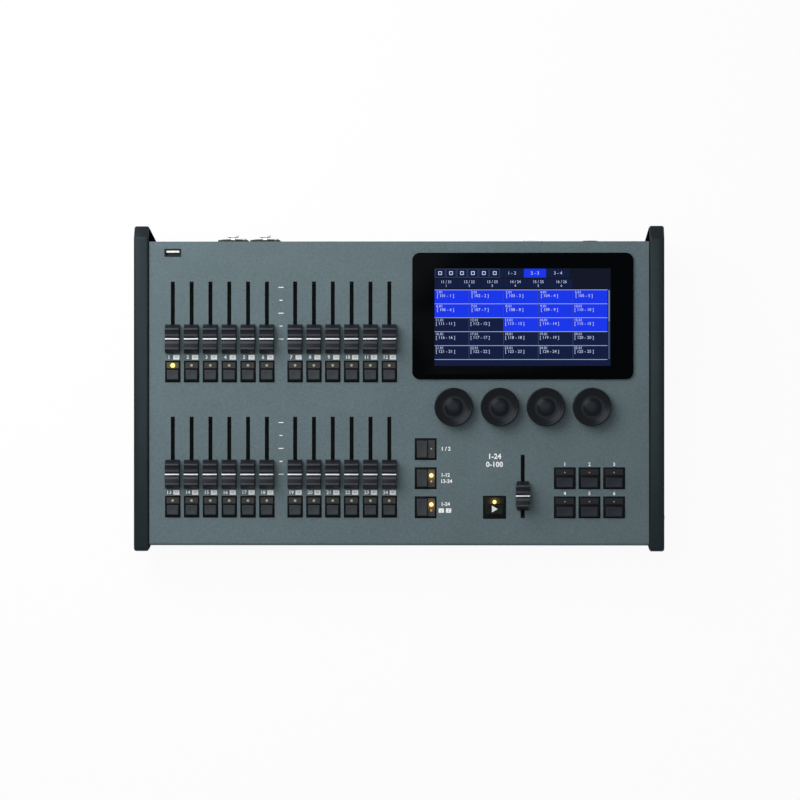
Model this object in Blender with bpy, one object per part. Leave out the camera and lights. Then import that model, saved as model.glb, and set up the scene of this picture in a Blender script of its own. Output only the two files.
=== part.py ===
"""Lighting control desk: a wedge case with 24 channel faders, a master, keys, encoders and a screen.

Metres, +Z up, the operator at -Y. Controls are laid out in the panel's own frame: x to the right,
y up the slope from the panel's front edge, z out of the panel. One object is one physical piece.
"""

import math

import bmesh
import bpy
from mathutils import Matrix

# Sheet metal and clearances
SHEET = 0.0015
GAP = 0.0003
KEY_GAP = 0.00035

# Case
PANEL_TILT = math.radians(7.5)
PANEL_FRONT_HEIGHT = 0.046
FOLD_RADIUS = 0.0025
FRONT_LIP = 0.014
REAR_INSET = 0.0005
REAR_FLANGE = 0.005
UPSTAND = 0.012
FOOT_HEIGHT = 0.006
FOOT_WIDTH = 0.014
FOOT_SETBACK = 0.020
CHEEK_WIDTH = 0.013
CHEEK_RAISE = 0.0024
CHEEK_FRONT = 0.0058
CHEEK_BEND = 0.0032
CHEEK_REAR = 0.0138
CHEEK_DROP = 0.0075
CHEEK_CLEARANCE = 0.004
CHEEK_EDGE = 0.0012

# Channel rows
FLASH_WIDTH = 0.0131
FLASH_LENGTH = 0.0186
FLASH_SPACING = 0.0033
BANK_EXTRA = 0.0082
LEFT_MARGIN = 0.0207
FRONT_MARGIN = 0.0337
LABEL_BAND = 0.01435
ROW_BAND = 0.03045
REAR_BAND = 0.03515

# Faders
TRAVEL = 0.045
MASTER_REST = 0.0144
LEVER_WIDTH = 0.0012
LEVER_LENGTH = 0.004
SLOT_WIDTH = 0.0028
SLOT_END = 0.00265
CAP_WIDTH = 0.0128
CAP_LENGTH = 0.0255
CAP_HEIGHT = 0.0105
CAP_LIFT = 0.0012
CARRIAGE_WIDTH = 0.006
CARRIAGE_LENGTH = 0.005
POT_WALL = 0.0014
POT_END = 0.003

# Screen
GLASS_WIDTH = 0.192
GLASS_HEIGHT = 0.110
GLASS_THICKNESS = 0.0016
GLASS_CORNER = 0.0065
GLASS_REAR_MARGIN = 0.010
SCREEN_GAP = 0.020
RIGHT_MARGIN = 0.0137
MODULE_BORDER = 0.011
MODULE_FLANGE = 0.004
MODULE_DEPTH = 0.009

# Encoders
ENCODER_DIAMETER = 0.0337
ENCODER_SPACING = 0.0063
ENCODER_HEIGHT = 0.0085
ENCODER_LIFT = 0.001
ENCODER_GLASS_GAP = 0.00715
ENCODER_KEY_GAP = 0.01055
SHAFT_RADIUS = 0.003
BUSH_WALL = 0.0012

# Square keys
KEY_SIZE = 0.0186
KEY_FRONT = 0.0333
KEY_SPACING = 0.0028
KEY_ROW_BAND = 0.0067
MODE_INSET = 0.0023
COMMAND_INSET = 0.0073
GO_SIZE = 0.0196
GO_OFFSET = 0.0245
KEY_TRAVEL = 0.0015
KEY_FLANGE = 0.001
KEY_SHELF = 0.0006
PAD_HEIGHT = 0.002
STEM_WIDTH = 0.004

# Boards
BOARD_DEPTH = 0.015
BOARD_THICKNESS = 0.0016
POST_WIDTH = 0.005
MAIN_BOARD_WIDTH = 0.150
MAIN_BOARD_LENGTH = 0.100
MAIN_BOARD_LIFT = 0.006
BOARD_LEG_WIDTH = 0.006
BOARD_LEG_INSET = 0.005
PROCESSOR_SIZE = 0.032
PROCESSOR_HEIGHT = 0.008
PROCESSOR_SHIFT = 0.005
MEMORY_SIZE = 0.014
MEMORY_HEIGHT = 0.003
MEMORY_LEFT = 0.045
MEMORY_FRONT = 0.020
HEADER_LENGTH = 0.040
HEADER_WIDTH = 0.008
HEADER_HEIGHT = 0.006
HEADER_RIGHT = 0.045
HEADER_REAR = 0.030

# Sockets
USB_WIDTH = 0.0142
USB_HEIGHT = 0.0065
USB_WALL = 0.0006
USB_REAR = 0.0098
DMX_SPACING = 0.028
DMX_OFFSET = 0.0658
DMX_WIDTH = 0.026
DMX_HEIGHT = 0.031
DMX_RADIUS = 0.0118
DMX_FLANGE = 0.0022
DMX_LENGTH = 0.020
DMX_DROP = 0.0065
NETWORK_WIDTH = 0.0162
NETWORK_HEIGHT = 0.0140
NETWORK_DROP = 0.0115
NETWORK_PROUD = 0.003
NETWORK_LENGTH = 0.018
POWER_RADIUS = 0.0058
POWER_OFFSET = 0.050
POWER_LENGTH = 0.014
ROUND_STEPS = 24

# Layout that follows from those
FADER_PITCH = FLASH_WIDTH + FLASH_SPACING
BANK_GAP = FADER_PITCH + BANK_EXTRA
SLOT_LENGTH = TRAVEL + LEVER_LENGTH + 2 * SLOT_END
FLASH_TO_SLOT = FLASH_LENGTH / 2 + LABEL_BAND + SLOT_LENGTH / 2
ROW_PITCH = FLASH_TO_SLOT + SLOT_LENGTH / 2 + ROW_BAND + FLASH_LENGTH / 2
KEY_PITCH = KEY_SIZE + KEY_SPACING
KEY_ROW_PITCH = KEY_SIZE + KEY_ROW_BAND
ENCODER_PITCH = ENCODER_DIAMETER + ENCODER_SPACING
PANEL_WIDTH = LEFT_MARGIN + 10 * FADER_PITCH + BANK_GAP + SCREEN_GAP + GLASS_WIDTH + RIGHT_MARGIN
FADER_SIDE_LENGTH = FRONT_MARGIN + ROW_PITCH + FLASH_TO_SLOT + SLOT_LENGTH / 2 + REAR_BAND
SCREEN_SIDE_LENGTH = (KEY_FRONT + 2 * KEY_ROW_PITCH + KEY_SIZE / 2 + ENCODER_KEY_GAP + ENCODER_DIAMETER
                      + ENCODER_GLASS_GAP + GLASS_HEIGHT + GLASS_REAR_MARGIN)
PANEL_LENGTH = max(FADER_SIDE_LENGTH, SCREEN_SIDE_LENGTH)
SCREEN_X = PANEL_WIDTH / 2 - RIGHT_MARGIN - GLASS_WIDTH / 2
SCREEN_Y = PANEL_LENGTH - GLASS_REAR_MARGIN - GLASS_HEIGHT / 2
ENCODER_Y = SCREEN_Y - GLASS_HEIGHT / 2 - ENCODER_GLASS_GAP - ENCODER_DIAMETER / 2
MASTER_X = SCREEN_X
MASTER_Y = KEY_FRONT - GO_SIZE / 2 + SLOT_LENGTH / 2 + 0.0008
MODE_X = SCREEN_X - GLASS_WIDTH / 2 + MODE_INSET + KEY_SIZE / 2
COMMAND_RIGHT_X = SCREEN_X + GLASS_WIDTH / 2 - COMMAND_INSET - KEY_SIZE / 2
GO_X = MASTER_X - GO_OFFSET
USB_X = -PANEL_WIDTH / 2 + LEFT_MARGIN
USB_Y = PANEL_LENGTH - USB_REAR
UNDERSIDE = -SHEET - GAP
KEY_STOP = UNDERSIDE - 0.0012
BOARD_TOP = -BOARD_DEPTH
HOUSING_TOP = BOARD_TOP + 0.0075
POT_TOP = BOARD_TOP + 0.0095
POT_FLOOR = BOARD_TOP + 0.001
CHANNEL_WIDTH = CARRIAGE_WIDTH + 2 * GAP
CHANNEL_LENGTH = TRAVEL + CARRIAGE_LENGTH + 0.001
SLOPE_SIN = math.sin(PANEL_TILT)
SLOPE_COS = math.cos(PANEL_TILT)
FLOOR_BOTTOM = FOOT_HEIGHT - PANEL_FRONT_HEIGHT
FLOOR_TOP = FLOOR_BOTTOM + SHEET
REAR_FACE = PANEL_LENGTH - REAR_INSET


def fader_x(column):
    """Where a fader column, 0 to 11, sits across the panel."""
    extra = BANK_GAP - FADER_PITCH if column > 5 else 0.0
    return -PANEL_WIDTH / 2 + LEFT_MARGIN + column * FADER_PITCH + extra


def slot_y(row):
    """The slot centre of the lower row, 0, or the upper row, 1."""
    return FRONT_MARGIN + FLASH_TO_SLOT + row * ROW_PITCH


def flash_y(row):
    """The flash key centre of a row."""
    return FRONT_MARGIN + row * ROW_PITCH


def encoder_x(index):
    """Where an encoder, 0 to 3, sits across the panel."""
    return SCREEN_X + (index - 1.5) * ENCODER_PITCH


def tilted(along, above):
    """A point of the panel's section, as y and z from the panel's front edge, level with the ground."""
    return along * SLOPE_COS - above * SLOPE_SIN, along * SLOPE_SIN + above * SLOPE_COS


def down_to(along, height):
    """How far out of the panel a point at this place along it lies when its level height is given."""
    return (height - along * SLOPE_SIN) / SLOPE_COS


def rounded(corners, steps=4):
    """An outline with its corners rounded: each corner is a point and a radius."""
    outline = []
    count = len(corners)
    for index, (x, y, radius) in enumerate(corners):
        before = corners[index - 1]
        after = corners[(index + 1) % count]
        to_before = (before[0] - x, before[1] - y)
        to_after = (after[0] - x, after[1] - y)
        far_before = math.hypot(*to_before)
        far_after = math.hypot(*to_after)
        unit_before = (to_before[0] / far_before, to_before[1] / far_before)
        unit_after = (to_after[0] / far_after, to_after[1] / far_after)
        if radius <= 0.0:
            outline.append((x, y))
            continue
        cosine = unit_before[0] * unit_after[0] + unit_before[1] * unit_after[1]
        half = math.acos(max(-1.0, min(1.0, cosine))) / 2
        reach = min(radius / math.tan(half), 0.45 * far_before, 0.45 * far_after)
        start = (x + unit_before[0] * reach, y + unit_before[1] * reach)
        end = (x + unit_after[0] * reach, y + unit_after[1] * reach)
        for step in range(steps + 1):
            t = step / steps
            a = (1 - t) ** 2
            b = 2 * t * (1 - t)
            c = t ** 2
            outline.append((a * start[0] + b * x + c * end[0], a * start[1] + b * y + c * end[1]))
    return outline


def rectangle(x, y, width, length, z):
    """One ring of four points for a loft."""
    half_w = width / 2
    half_l = length / 2
    return [(x - half_w, y - half_l, z), (x + half_w, y - half_l, z),
            (x + half_w, y + half_l, z), (x - half_w, y + half_l, z)]


def round_rectangle(x, y, width, length, radius, z):
    """One ring of a rectangle with rounded corners for a loft."""
    half_w = width / 2
    half_l = length / 2
    corners = [(x - half_w, y - half_l, radius), (x + half_w, y - half_l, radius),
               (x + half_w, y + half_l, radius), (x - half_w, y + half_l, radius)]
    return [(px, py, z) for px, py in rounded(corners)]


def loft(bm, rings):
    """A closed skin through rings of equal count, capped at both ends."""
    rows = [[bm.verts.new(point) for point in ring] for ring in rings]
    count = len(rows[0])
    for lower, upper in zip(rows, rows[1:]):
        for index in range(count):
            after = (index + 1) % count
            bm.faces.new((lower[index], lower[after], upper[after], upper[index]))
    bm.faces.new(list(reversed(rows[0])))
    bm.faces.new(rows[-1])


def box(bm, x, y, width, length, low, high):
    """A block by its centre, its sides and its two levels."""
    loft(bm, [rectangle(x, y, width, length, low), rectangle(x, y, width, length, high)])


def prism(bm, outline, left, right):
    """An outline in y and z drawn out along x."""
    loft(bm, [[(left, y, z) for y, z in outline], [(right, y, z) for y, z in outline]])


def turned(bm, profile, x=0.0, y=0.0, steps=ROUND_STEPS):
    """A profile of radius and height turned about a line along z. It starts and ends on that line."""
    start = bm.verts.new((x, y, profile[0][1]))
    rings = []
    for radius, z in profile[1:-1]:
        ring = []
        for step in range(steps):
            angle = 2 * math.pi * (step + 0.5) / steps
            ring.append(bm.verts.new((x + radius * math.cos(angle), y + radius * math.sin(angle), z)))
        rings.append(ring)
    end = bm.verts.new((x, y, profile[-1][1]))
    for index in range(steps):
        after = (index + 1) % steps
        bm.faces.new((start, rings[0][after], rings[0][index]))
        for lower, upper in zip(rings, rings[1:]):
            bm.faces.new((lower[index], lower[after], upper[after], upper[index]))
        bm.faces.new((end, rings[-1][index], rings[-1][after]))


def cylinder(bm, x, y, radius, low, high, steps=ROUND_STEPS):
    """A plain round block."""
    turned(bm, [(0.0, low), (radius, low), (radius, high), (0.0, high)], x, y, steps)


def mesh_of(name, fill):
    """A mesh filled by a function that takes a bmesh."""
    bm = bmesh.new()
    fill(bm)
    bmesh.ops.recalc_face_normals(bm, faces=bm.faces[:])
    mesh = bpy.data.meshes.new(name)
    bm.to_mesh(mesh)
    bm.free()
    return mesh


MATERIALS = {}


def material(name, colour, metallic, roughness):
    """A plain Principled material, made once for each name."""
    if name in MATERIALS:
        return MATERIALS[name]
    made = bpy.data.materials.new(name)
    made.use_nodes = True
    shader = made.node_tree.nodes["Principled BSDF"]
    shader.inputs["Base Color"].default_value = (*colour, 1.0)
    shader.inputs["Metallic"].default_value = metallic
    shader.inputs["Roughness"].default_value = roughness
    MATERIALS[name] = made
    return made


def finish_of(kind):
    """The material of one kind of piece."""
    kinds = {
        "panel_paint": ((0.14, 0.17, 0.18), 0.1, 0.5),
        "case_paint": ((0.03, 0.035, 0.04), 0.1, 0.55),
        "cheek_plastic": ((0.03, 0.04, 0.045), 0.0, 0.5),
        "cap_plastic": ((0.03, 0.03, 0.035), 0.0, 0.45),
        "key_plastic": ((0.045, 0.05, 0.055), 0.0, 0.5),
        "glass": ((0.004, 0.004, 0.005), 0.0, 0.05),
        "display": ((0.02, 0.02, 0.022), 0.0, 0.4),
        "board": ((0.01, 0.09, 0.03), 0.0, 0.5),
        "socket_black": ((0.015, 0.015, 0.016), 0.0, 0.4),
        "socket_metal": ((0.6, 0.6, 0.6), 1.0, 0.3),
        "rubber": ((0.01, 0.01, 0.01), 0.0, 0.8),
    }
    colour, metallic, roughness = kinds[kind]
    return material(kind, colour, metallic, roughness)


def piece(name, mesh, kind, parent, at=(0.0, 0.0, 0.0)):
    """One named object, with its material, under its parent frame."""
    obj = bpy.data.objects.new(name, mesh)
    bpy.context.scene.collection.objects.link(obj)
    if not mesh.materials:
        mesh.materials.append(finish_of(kind))
    obj.parent = parent
    obj.location = at
    return obj


def helper(name, mesh, parent):
    """A hidden object that a Boolean works with."""
    obj = bpy.data.objects.new(name, mesh)
    bpy.context.scene.collection.objects.link(obj)
    obj.parent = parent
    obj.hide_render = True
    obj.display_type = "WIRE"
    return obj


def combine(obj, other, operation):
    """Adds a Boolean with another object."""
    modifier = obj.modifiers.new(operation.lower(), "BOOLEAN")
    modifier.operation = operation
    modifier.solver = "EXACT"
    modifier.object = other


def joined_mesh(name, fills):
    """One mesh made of overlapping solids, so that copies can share it."""
    first = helper(name + "_first", mesh_of(name + "_first", fills[0]), None)
    others = []
    for index, fill in enumerate(fills[1:]):
        other = helper(f"{name}_{index}", mesh_of(f"{name}_{index}", fill), None)
        combine(first, other, "UNION")
        others.append(other)
    bpy.context.view_layer.update()
    graph = bpy.context.evaluated_depsgraph_get()
    mesh = bpy.data.meshes.new_from_object(first.evaluated_get(graph))
    mesh.name = name
    mesh.materials.clear()
    for other in others + [first]:
        bpy.data.objects.remove(other)
    return mesh


def frame(name, parent, matrix):
    """An empty that carries a tilted frame."""
    empty = bpy.data.objects.new(name, None)
    bpy.context.scene.collection.objects.link(empty)
    empty.parent = parent
    empty.matrix_basis = matrix
    return empty


def cheek_outline():
    """The side cheek's outline, in y and z from the panel's front edge."""
    bottom = CHEEK_CLEARANCE - PANEL_FRONT_HEIGHT
    front = tilted(-CHEEK_FRONT, CHEEK_RAISE)
    bend = tilted(PANEL_LENGTH + CHEEK_BEND, CHEEK_RAISE)
    tip = tilted(PANEL_LENGTH + CHEEK_REAR, CHEEK_RAISE - CHEEK_DROP)
    toe = tilted(-CHEEK_FRONT, down_to(-CHEEK_FRONT, bottom))
    corners = [(toe[0], toe[1], 0.005), (tip[0], bottom, 0.004), (tip[0], tip[1], 0.002),
               (bend[0], bend[1], 0.004), (front[0], front[1], 0.004)]
    return rounded(corners)


def build_cheeks(level):
    """The two side cheeks, outlines drawn across with softened edges."""
    outline = cheek_outline()
    for name, side in (("left_cheek", -1), ("right_cheek", 1)):
        inner = side * (PANEL_WIDTH / 2 + GAP)
        outer = side * (PANEL_WIDTH / 2 + GAP + CHEEK_WIDTH)
        obj = piece(name, mesh_of(name, lambda bm: prism(bm, outline, inner, outer)), "cheek_plastic", level)
        bevel = obj.modifiers.new("edge", "BEVEL")
        bevel.width = CHEEK_EDGE
        bevel.segments = 2
        bevel.limit_method = "ANGLE"
        bevel.angle_limit = math.radians(60)


def cut_panel(bm):
    """Every opening of the top panel, as blocks through the sheet."""
    low = -SHEET * 2
    high = SHEET
    for row in range(2):
        for column in range(12):
            x = fader_x(column)
            box(bm, x, slot_y(row), SLOT_WIDTH, SLOT_LENGTH, low, high)
            box(bm, x, flash_y(row), FLASH_WIDTH, FLASH_LENGTH, low, high)
    box(bm, MASTER_X, MASTER_Y, SLOT_WIDTH, SLOT_LENGTH, low, high)
    box(bm, GO_X, KEY_FRONT, GO_SIZE, GO_SIZE, low, high)
    for row in range(3):
        box(bm, MODE_X, KEY_FRONT + row * KEY_ROW_PITCH, KEY_SIZE, KEY_SIZE, low, high)
    for row in range(2):
        for column in range(3):
            x = COMMAND_RIGHT_X - column * KEY_PITCH
            box(bm, x, KEY_FRONT + row * KEY_ROW_PITCH, KEY_SIZE, KEY_SIZE, low, high)
    for index in range(4):
        cylinder(bm, encoder_x(index), ENCODER_Y, SHAFT_RADIUS + GAP + BUSH_WALL + 0.0004, low, high, 12)
    box(bm, SCREEN_X, SCREEN_Y, GLASS_WIDTH - 2 * MODULE_BORDER, GLASS_HEIGHT - 2 * MODULE_BORDER / 2, low, high)
    box(bm, USB_X, USB_Y, USB_WIDTH + 2 * GAP, USB_HEIGHT + 2 * GAP, low, high)


def build_top_panel(panel):
    """The folded top sheet with its front lip and all its openings."""
    inner = FOLD_RADIUS - SHEET
    outline = [(PANEL_LENGTH, -SHEET), (PANEL_LENGTH, 0.0)]
    for step in range(5):
        angle = math.pi / 2 * (1 + step / 4)
        outline.append((FOLD_RADIUS * (1 + math.cos(angle)), FOLD_RADIUS * (math.sin(angle) - 1)))
    outline.append((0.0, -FRONT_LIP))
    outline.append((SHEET, -FRONT_LIP))
    for step in range(5):
        angle = math.pi / 2 * (2 - step / 4)
        outline.append((FOLD_RADIUS + inner * math.cos(angle), inner * math.sin(angle) - FOLD_RADIUS))
    half = PANEL_WIDTH / 2
    obj = piece("top_panel", mesh_of("top_panel", lambda bm: prism(bm, outline, -half, half)), "panel_paint", panel)
    combine(obj, helper("panel_cutter", mesh_of("panel_cutter", cut_panel), panel), "DIFFERENCE")


def build_base_pan(level):
    """The folded floor with its front wall and rear upstand."""
    front_out = SHEET + GAP
    front_in = front_out + SHEET
    rear_out = REAR_FACE - SHEET - GAP
    rear_in = rear_out - SHEET
    upstand_top = down_to(rear_out, FLOOR_BOTTOM) + UPSTAND
    outline = [
        tilted(front_out, UNDERSIDE - FOLD_RADIUS / 2),
        tilted(front_out, down_to(front_out, FLOOR_BOTTOM)),
        tilted(rear_out, down_to(rear_out, FLOOR_BOTTOM)),
        tilted(rear_out, upstand_top),
        tilted(rear_in, upstand_top),
        tilted(rear_in, down_to(rear_in, FLOOR_TOP)),
        tilted(front_in, down_to(front_in, FLOOR_TOP)),
        tilted(front_in, UNDERSIDE - FOLD_RADIUS / 2),
    ]
    half = PANEL_WIDTH / 2
    piece("base_pan", mesh_of("base_pan", lambda bm: prism(bm, outline, -half, half)), "case_paint", level)


def dmx_x(index):
    """Where a data socket, 0 or 1, sits across the rear."""
    return -PANEL_WIDTH / 2 + DMX_OFFSET + index * DMX_SPACING + LEFT_MARGIN / 3


NETWORK_X = SCREEN_X + 0.0092
POWER_X = NETWORK_X + POWER_OFFSET
DMX_Y = DMX_DROP + DMX_HEIGHT / 2
NETWORK_Y = NETWORK_DROP + NETWORK_HEIGHT / 2
POWER_Y = NETWORK_Y


def build_rear_panel(panel, rear):
    """The rear sheet with its flange under the top panel and its socket holes."""
    bottom = down_to(REAR_FACE, FLOOR_BOTTOM) + 0.0005
    inside = REAR_FACE - SHEET
    outline = [
        (REAR_FACE, bottom), (REAR_FACE, UNDERSIDE), (REAR_FACE - REAR_FLANGE, UNDERSIDE),
        (REAR_FACE - REAR_FLANGE, UNDERSIDE - SHEET), (inside, UNDERSIDE - SHEET), (inside, bottom),
    ]
    half = PANEL_WIDTH / 2
    obj = piece("rear_panel", mesh_of("rear_panel", lambda bm: prism(bm, outline, -half, half)), "case_paint", panel)

    def holes(bm):
        low = -SHEET * 2
        for index in range(2):
            cylinder(bm, dmx_x(index), DMX_Y, DMX_RADIUS + GAP, low, SHEET)
        box(bm, NETWORK_X, NETWORK_Y, NETWORK_WIDTH + 2 * GAP, NETWORK_HEIGHT + 2 * GAP, low, SHEET)
        cylinder(bm, POWER_X, POWER_Y, POWER_RADIUS + GAP, low, SHEET)

    combine(obj, helper("rear_cutter", mesh_of("rear_cutter", holes), rear), "DIFFERENCE")


def build_rear_sockets(rear):
    """The data, network and power sockets of the rear panel."""
    def flange(bm):
        loft(bm, [round_rectangle(0, 0, DMX_WIDTH, DMX_HEIGHT, 0.003, GAP),
                  round_rectangle(0, 0, DMX_WIDTH, DMX_HEIGHT, 0.003, GAP + DMX_FLANGE)])

    def tab(bm):
        box(bm, 0, -DMX_RADIUS - 0.0012, 0.0105, 0.0028, GAP + DMX_FLANGE / 2, GAP + DMX_FLANGE + 0.0045)

    for index in range(2):
        name = f"dmx_socket_{index + 1}"
        at = (dmx_x(index), DMX_Y, 0.0)
        obj = piece(name, mesh_of(name, lambda bm: cylinder(bm, 0, 0, DMX_RADIUS, -DMX_LENGTH,
                                                             GAP + DMX_FLANGE + 0.0006)),
                    "socket_black", rear, at)
        for kind, fill, operation in (("flange", flange, "UNION"), ("tab", tab, "UNION")):
            other = helper(f"{name}_{kind}", mesh_of(f"{name}_{kind}", fill), rear)
            other.location = at
            combine(obj, other, operation)

        def groove(bm):
            deep = -DMX_LENGTH / 2
            high = 0.02
            ring_out = DMX_RADIUS - 0.002
            ring_in = DMX_RADIUS - 0.004
            face = GAP + 0.0012
            turned(bm, [(0.0, face), (ring_in, face), (ring_in, deep), (ring_out, deep), (ring_out, high),
                        (0.0, high)])

        cutter = helper(f"{name}_groove", mesh_of(f"{name}_groove", groove), rear)
        cutter.location = at
        combine(obj, cutter, "DIFFERENCE")

    wall = 0.0016

    def network(bm):
        outer = [rectangle(0, 0, NETWORK_WIDTH, NETWORK_HEIGHT, z) for z in (-NETWORK_LENGTH, NETWORK_PROUD)]
        inner = [rectangle(0, 0, NETWORK_WIDTH - 2 * wall, NETWORK_HEIGHT - 2 * wall, z)
                 for z in (NETWORK_PROUD, -NETWORK_LENGTH * 0.7)]
        loft(bm, outer + inner)

    piece("network_socket", mesh_of("network_socket", network), "socket_metal", rear, (NETWORK_X, NETWORK_Y, 0.0))

    def power(bm):
        nut = POWER_RADIUS + 0.002
        bore_radius = POWER_RADIUS - 0.0015
        top = GAP + 0.002
        turned(bm, [(0.0, -POWER_LENGTH), (POWER_RADIUS, -POWER_LENGTH), (POWER_RADIUS, GAP), (nut, GAP),
                    (nut, top), (bore_radius, top), (bore_radius, -POWER_LENGTH * 0.7),
                    (0.001, -POWER_LENGTH * 0.7), (0.001, -0.001), (0.0, -0.001)])

    piece("power_inlet", mesh_of("power_inlet", power), "socket_black", rear, (POWER_X, POWER_Y, 0.0))


def build_feet(world):
    """Two rubber strips under the floor."""
    length = PANEL_WIDTH - 0.030
    front_y = FOOT_SETBACK
    rear_y = PANEL_LENGTH * SLOPE_COS - FOOT_SETBACK / 2

    def strip(bm):
        loft(bm, [rectangle(0, 0, length - 0.002, FOOT_WIDTH - 0.002, -PANEL_FRONT_HEIGHT),
                  rectangle(0, 0, length, FOOT_WIDTH, -PANEL_FRONT_HEIGHT + 0.001),
                  rectangle(0, 0, length, FOOT_WIDTH, FLOOR_BOTTOM - GAP)])

    mesh = mesh_of("foot_strip", strip)
    piece("front_foot_strip", mesh, "rubber", world, (0.0, front_y, 0.0))
    piece("rear_foot_strip", mesh, "rubber", world, (0.0, rear_y, 0.0))


def build_screen(panel):
    """The touch glass on the panel and the display module under it."""
    def glass(bm):
        rings = []
        for inset, z in ((0.0, GAP), (0.0, GAP + GLASS_THICKNESS - 0.0003), (0.0003, GAP + GLASS_THICKNESS)):
            rings.append(round_rectangle(0, 0, GLASS_WIDTH - 2 * inset, GLASS_HEIGHT - 2 * inset, GLASS_CORNER, z))
        loft(bm, rings)

    piece("touchscreen_glass", mesh_of("touchscreen_glass", glass), "glass", panel, (SCREEN_X, SCREEN_Y, 0.0))

    def module(bm):
        wide = GLASS_WIDTH - 2 * MODULE_BORDER - 2 * GAP
        tall = GLASS_HEIGHT - MODULE_BORDER - 2 * GAP
        flange = 2 * MODULE_FLANGE
        loft(bm, [rectangle(0, 0, wide + flange, tall + flange, UNDERSIDE - MODULE_DEPTH),
                  rectangle(0, 0, wide + flange, tall + flange, UNDERSIDE),
                  rectangle(0, 0, wide, tall, UNDERSIDE),
                  rectangle(0, 0, wide, tall, 0.0)])

    piece("display_module", mesh_of("display_module", module), "display", panel, (SCREEN_X, SCREEN_Y, 0.0))


def build_usb_socket(panel):
    """The memory-stick socket, standing on the fader board and level with the panel."""
    def fill(bm):
        low = BOARD_TOP + GAP
        high = -0.0001
        inner_w = USB_WIDTH - 2 * USB_WALL
        inner_h = USB_HEIGHT - 2 * USB_WALL
        loft(bm, [rectangle(0, 0, USB_WIDTH, USB_HEIGHT, low), rectangle(0, 0, USB_WIDTH, USB_HEIGHT, high),
                  rectangle(0, 0, inner_w, inner_h, high), rectangle(0, 0, inner_w, inner_h, low + 0.004)])

    piece("usb_socket", mesh_of("usb_socket", fill), "socket_metal", panel, (USB_X, USB_Y, 0.0))


def pot_block(bm, x, y):
    """The outside of one slide pot on its board."""
    width = CHANNEL_WIDTH + 2 * POT_WALL
    box(bm, x, y, width, CHANNEL_LENGTH + 2 * POT_END, BOARD_TOP - BOARD_THICKNESS / 2, POT_TOP)


def pot_channel(bm, x, y):
    """The space that a slide pot's carriage runs in."""
    box(bm, x, y, CHANNEL_WIDTH, CHANNEL_LENGTH, POT_FLOOR, POT_TOP + 0.001)


def switch_block(bm, x, y, wide):
    """The outside of one key switch on its board."""
    box(bm, x, y, wide, wide, BOARD_TOP - BOARD_THICKNESS / 2, HOUSING_TOP)


def switch_well(bm, x, y):
    """The space that a key's stem moves in."""
    wide = STEM_WIDTH + 2 * GAP
    box(bm, x, y, wide, wide, POT_FLOOR, HOUSING_TOP + 0.001)


def post(bm, x, y):
    """A spacer from a board up to the panel."""
    box(bm, x, y, POST_WIDTH, POST_WIDTH, BOARD_TOP - BOARD_THICKNESS / 2, UNDERSIDE)


FADER_BOARD_FRONT = FRONT_MARGIN - FLASH_LENGTH / 2 - 0.012
FADER_BOARD_REAR = slot_y(1) + CHANNEL_LENGTH / 2 + POT_END + 2 * POST_WIDTH
COMMAND_BOARD_FRONT = KEY_FRONT - GO_SIZE / 2 - 0.0115
COMMAND_BOARD_REAR = ENCODER_Y + 0.010 + 2 * POST_WIDTH


def build_fader_board(panel):
    """The board under the channel rows: slide pots, key switches and spacers on one plate."""
    left = fader_x(0) - 0.0115
    right = fader_x(11) + 0.0115
    middle = (fader_x(5) + fader_x(6)) / 2

    def plate(bm):
        box(bm, (left + right) / 2, (FADER_BOARD_FRONT + FADER_BOARD_REAR) / 2, right - left,
            FADER_BOARD_REAR - FADER_BOARD_FRONT, BOARD_TOP - BOARD_THICKNESS, BOARD_TOP)

    def shelf(bm):
        reach = USB_Y + USB_HEIGHT / 2 + 0.001
        start = FADER_BOARD_REAR - 0.006
        box(bm, USB_X, (start + reach) / 2, USB_WIDTH + 0.004, reach - start,
            BOARD_TOP - BOARD_THICKNESS * 0.9, BOARD_TOP - BOARD_THICKNESS * 0.05)

    def blocks(bm):
        for row in range(2):
            for column in range(12):
                pot_block(bm, fader_x(column), slot_y(row))
                switch_block(bm, fader_x(column), flash_y(row), STEM_WIDTH + 0.003)
        between = (slot_y(0) + CHANNEL_LENGTH / 2 + POT_END + flash_y(1) - FLASH_LENGTH / 2) / 2
        for y in (FADER_BOARD_FRONT + POST_WIDTH, between, FADER_BOARD_REAR - POST_WIDTH):
            for x in (left + POST_WIDTH, middle, right - POST_WIDTH):
                post(bm, x, y)

    def wells(bm):
        for row in range(2):
            for column in range(12):
                pot_channel(bm, fader_x(column), slot_y(row))
                switch_well(bm, fader_x(column), flash_y(row))

    obj = piece("fader_board", mesh_of("fader_board", plate), "board", panel)
    combine(obj, helper("fader_board_shelf", mesh_of("fader_board_shelf", shelf), panel), "UNION")
    combine(obj, helper("fader_board_blocks", mesh_of("fader_board_blocks", blocks), panel), "UNION")
    combine(obj, helper("fader_board_wells", mesh_of("fader_board_wells", wells), panel), "DIFFERENCE")


def square_keys():
    """Every single key: its name, its place, its size and which side its lamp window is on."""
    keys = [("go_key", GO_X, KEY_FRONT, GO_SIZE, "rear")]
    for row in range(3):
        keys.append((f"mode_key_{3 - row}", MODE_X, KEY_FRONT + row * KEY_ROW_PITCH, KEY_SIZE, "right"))
    for row in range(2):
        for column in range(3):
            number = (1 - row) * 3 + 3 - column
            keys.append((f"command_key_{number}", COMMAND_RIGHT_X - column * KEY_PITCH,
                         KEY_FRONT + row * KEY_ROW_PITCH, KEY_SIZE, "rear"))
    return keys


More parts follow.
